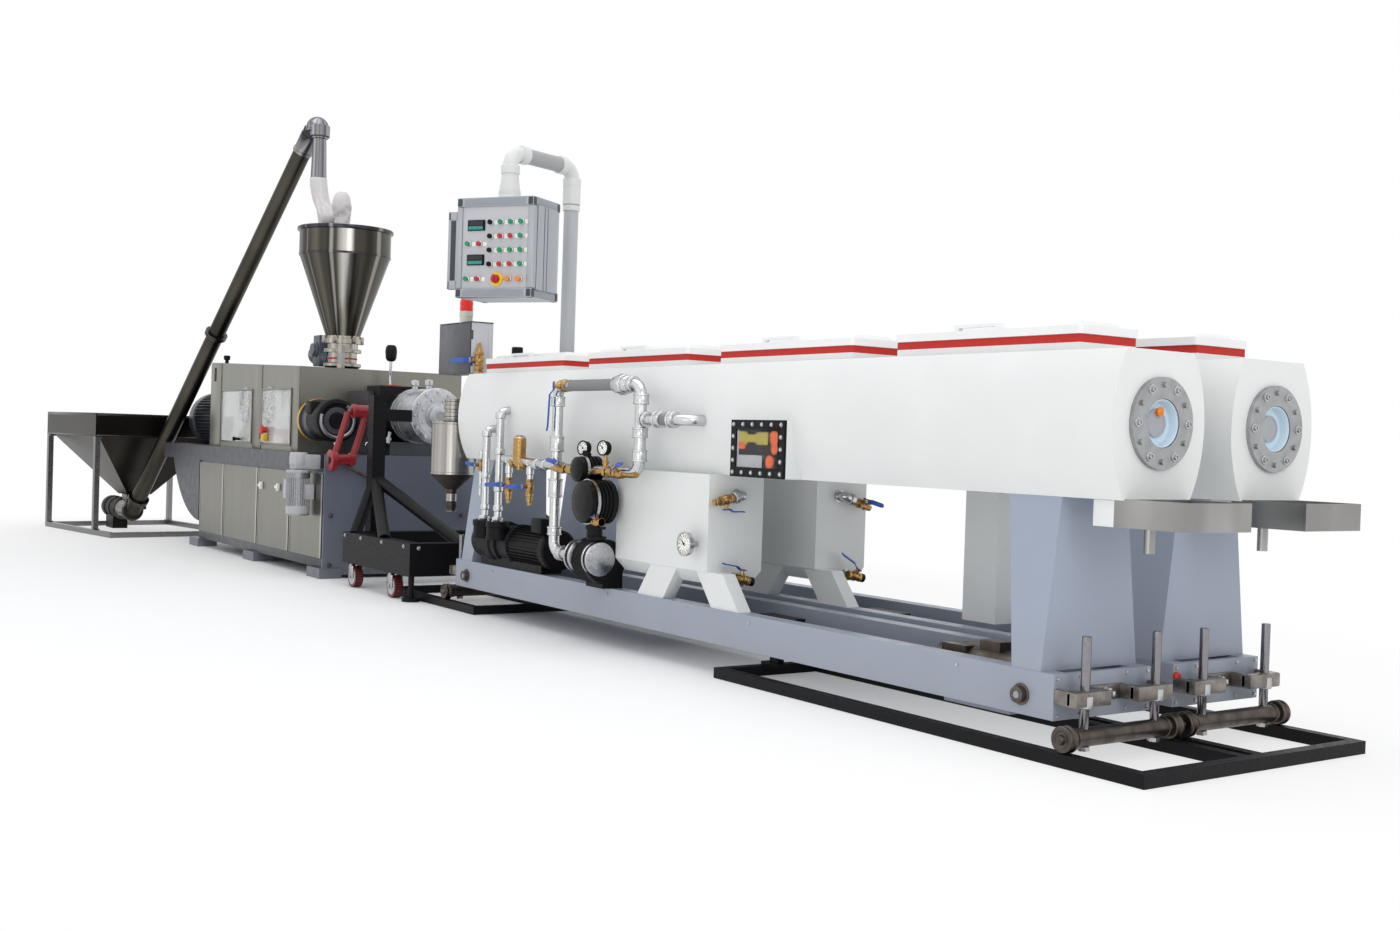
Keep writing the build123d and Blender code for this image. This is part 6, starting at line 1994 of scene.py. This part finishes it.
class LINE_OT_film_socks(bpy.types.Operator):
    """The discharge sleeve between the loader's spout and the hopper, and the vent sock on its collar"""

    bl_idname = "line.film_socks"
    bl_label = "Film socks"

    def execute(self, context):
        body = "line_base"
        LOOKS["film"] = film("sleeve_polyethylene_film", linear("#DEDADA"))
        top = Vector((*HEAD, HEAD_OUTLET + 26))
        low = Vector((*SLEEVE_SPOT, COLLAR_TOP - 22))
        rings = []
        steps = 26
        for i in range(steps + 1):
            t = i / steps
            ease = t * t * (3 - 2 * t)
            sag = sin(pi * t)
            centre = top.lerp(low, t)
            # It slumps to the right above its collar
            slump = sin(pi * min(1, max(0, (t - 0.45) / 0.55)))
            centre.x = top.x + (low.x - top.x) * ease + 26 * slump
            centre.y = top.y + (low.y - top.y) * ease + 10 * slump
            radius = 58 - 7 * t + 5 * sag + 15 * slump + 2 * sin(9 * t)
            rings.append((centre, radius, 2.6 * sag))
        sleeve = sock(rings)
        tall = [at(*top).z - 0.028, at(*low).z + 0.028]
        sleeve = soften(sleeve, lambda co: co.z > tall[0] or co.z < tall[1])
        finish(sleeve, "discharge_film_sleeve", "film", body, 60)
        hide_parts("discharge_sleeve")
        x, y = VENT_SPOT
        rings = []
        tall = 218
        for i in range(19):
            t = i / 18
            z = COLLAR_TOP - 22 + (tall + 22) * sin(t * pi / 2) ** 0.92
            bulge = 50 + 15 * sin(pi * min(1, t / 0.8))
            radius = bulge if t < 0.35 else bulge * max(0.03, 1 - ((t - 0.35) / 0.65) ** 2.2) ** 0.5
            rings.append((Vector((x + 9 * t * t, y - 4 * t, z)), radius, 1.8 * sin(pi * t)))
        vent = sock(rings)
        edge = at(x, y, COLLAR_TOP + 6).z
        vent = soften(vent, lambda co: co.z < edge)
        finish(vent, "vent_film_sock", "film", body, 60)
        LOOKS["tie"] = moulded("band_white_nylon", linear("#D9DADA"), 0.36)
        bands = []
        for spot, z, radius in ((HEAD, HEAD_OUTLET + 8, 58), (SLEEVE_SPOT, COLLAR_TOP - 20, 51),
                                (VENT_SPOT, COLLAR_TOP - 20, 51)):
            bands.append(rod((*spot, z), UP, (
                (0, radius - 1), (0, radius + 2.4), (9, radius + 2.4), (9, radius - 1)), 44))
        finish(bands, "film_bands", "tie", body)
        return {"FINISHED"}


# Stage

EYE = (2792, -3544, 909)
HEADING = 55.37
PITCH = -0.99
ROLL = -1.86
LENS = 38.17
LAMPS = (
    ("over_line", (-3500, -600, 6500), (-3500, 0, 0), (11.0, 5.0), 200),
    ("near_side", (-1500, -6500, 3200), (-2500, 0, 900), (8.0, 3.0), 20),
    ("under_tanks", (900, -4200, 600), (-900, 400, 450), (3.0, 0.8), 14),
    ("right_end", (5200, -1500, 3000), (0, 200, 900), (3.0, 3.0), 78),
    ("left_back", (-9500, -5500, 4200), (-8000, 0, 1000), (4.0, 3.0), 12),
)


class LINE_OT_stage(bpy.types.Operator):
    """Put the floor, the lamps, the world and the camera round the line"""

    bl_idname = "line.stage"
    bl_label = "Stage"

    def execute(self, context):
        scene = context.scene
        scene.view_settings.view_transform = "Standard"
        self.world(scene)
        self.floor()
        for name, place, target, size, power in LAMPS:
            self.lamp(name, at(*place), at(*target), size, power)
        self.camera(scene)
        return {"FINISHED"}

    def world(self, scene):
        world = bpy.data.worlds.new("studio")
        scene.world = world
        world.use_nodes = True
        tree = world.node_tree
        tree.nodes.clear()
        seen = add(tree, "ShaderNodeLightPath")
        either = maths(tree, "MAXIMUM", seen.outputs["Is Camera Ray"], seen.outputs["Is Glossy Ray"])
        any_ray = maths(tree, "MAXIMUM", either, seen.outputs["Is Transmission Ray"])
        white = add(tree, "ShaderNodeBackground", {"Color": (1, 1, 1, 1), "Strength": 1.0})
        soft = add(tree, "ShaderNodeBackground", {"Color": (0.97, 0.98, 1, 1), "Strength": 0.72})
        mixed = add(tree, "ShaderNodeMixShader", links={
            0: any_ray, 1: soft.outputs[0], 2: white.outputs[0]})
        add(tree, "ShaderNodeOutputWorld", links={"Surface": mixed.outputs[0]})

    def floor(self):
        """A pale floor that turns into the white background a few metres beyond the line."""
        alone()
        bpy.ops.mesh.primitive_circle_add(vertices=96, radius=1, fill_type="NGON")
        floor = bpy.context.object
        floor.scale = (30, 30, 1)
        bpy.ops.object.transform_apply(location=True, rotation=True, scale=True)
        bpy.ops.object.mode_set(mode="EDIT")
        bpy.ops.mesh.select_all(action="SELECT")
        bpy.ops.mesh.inset(thickness=14)
        bpy.ops.object.mode_set(mode="OBJECT")
        look = bpy.data.materials.new("floor_pale_paint")
        look.use_nodes = True
        tree = look.node_tree
        shader = tree.nodes["Principled BSDF"]
        shader.inputs["Roughness"].default_value = 0.7
        coords = add(tree, "ShaderNodeTexCoord").outputs["Object"]
        grey = noise(tree, coords, 900, 4)
        tree.links.new(spread(tree, grey, *shades(linear("#FBFBFB"), 0.99, 1.0)),
                       shader.inputs["Base Color"])
        oval = add(tree, "ShaderNodeMapping", {"Scale": (0.62, 1, 1)}, {"Vector": coords})
        reach = add(tree, "ShaderNodeVectorMath", links={0: oval.outputs["Vector"]}, operation="LENGTH")
        far = between(tree, reach.outputs["Value"], 0.0, 1.0, 1.6, 4.4)
        glow = add(tree, "ShaderNodeEmission", {"Color": (1, 1, 1, 1), "Strength": 1.0})
        mixed = add(tree, "ShaderNodeMixShader", links={
            0: far, 1: shader.outputs[0], 2: glow.outputs[0]})
        tree.links.new(mixed.outputs[0], tree.nodes["Material Output"].inputs["Surface"])
        floor.data.materials.append(look)
        floor.name = "studio_floor"
        floor.location.z = -0.001

    def lamp(self, name, place, target, size, power):
        light = bpy.data.lights.new(name, "AREA")
        light.shape = "RECTANGLE"
        light.size, light.size_y = size
        light.energy = power
        lamp = bpy.data.objects.new(name, light)
        bpy.context.scene.collection.objects.link(lamp)
        lamp.location = place
        lamp.rotation_euler = (target - place).to_track_quat("-Z", "Y").to_euler()
        lamp.visible_camera = False

    def camera(self, scene):
        heading, pitch, roll = radians(HEADING), radians(PITCH), radians(ROLL)
        ahead = Vector((-sin(heading) * cos(pitch), cos(heading) * cos(pitch), sin(pitch)))
        right = ahead.cross(Vector(UP)).normalized()
        up = right.cross(ahead)
        side = right * cos(roll) - up * sin(roll)
        top = right * sin(roll) + up * cos(roll)
        data = bpy.data.cameras.new("photo_camera")
        data.lens = LENS
        data.clip_end = 200
        camera = bpy.data.objects.new("photo_camera", data)
        scene.collection.objects.link(camera)
        turn = Matrix((side, top, -ahead)).transposed().to_4x4()
        camera.matrix_world = Matrix.Translation(at(*EYE)) @ turn
        scene.camera = camera


STEPS = (LINE_OT_stage, LINE_OT_finishes, LINE_OT_running_gear, LINE_OT_base_details, LINE_OT_tank_ends,
         LINE_OT_lid_fittings, LINE_OT_water_box_fittings, LINE_OT_pipe_fittings, LINE_OT_filters,
         LINE_OT_pump_details, LINE_OT_manifold, LINE_OT_separator_details, LINE_OT_panel_case,
         LINE_OT_panel_controls, LINE_OT_arm_details, LINE_OT_junction_details, LINE_OT_window_details,
         LINE_OT_guard_details, LINE_OT_cabinet_details, LINE_OT_motor_details, LINE_OT_side_motor,
         LINE_OT_hopper_details, LINE_OT_gearbox_details, LINE_OT_barrel_details, LINE_OT_arm_joints,
         LINE_OT_trolley_details, LINE_OT_loader_details, LINE_OT_film_socks)


class LINE_PT_panel(bpy.types.Panel):
    """Lists the steps that dress the line"""

    bl_label = "Pipe extrusion line"
    bl_idname = "LINE_PT_panel"
    bl_space_type = "VIEW_3D"
    bl_region_type = "UI"
    bl_category = "Line"

    def draw(self, context):
        for step in STEPS:
            self.layout.operator(step.bl_idname)
        for group in (context.scene.line_colours, context.scene.line_sizes):
            for key in group.__annotations__:
                self.layout.prop(group, key)


CLASSES = (LineColours, LineSizes, *STEPS, LINE_PT_panel)


def register():
    for item in CLASSES:
        bpy.utils.register_class(item)
    bpy.types.Scene.line_colours = bpy.props.PointerProperty(type=LineColours)
    bpy.types.Scene.line_sizes = bpy.props.PointerProperty(type=LineSizes)


def unregister():
    del bpy.types.Scene.line_sizes
    del bpy.types.Scene.line_colours
    for item in reversed(CLASSES):
        bpy.utils.unregister_class(item)


def main():
    """Registers the add-on and runs its steps in order."""
    register()
    for step in STEPS:
        group, name = step.bl_idname.split(".")
        getattr(getattr(bpy.ops, group), name)()
    bpy.context.view_layer.update()


if __name__ == "__main__":
    main()
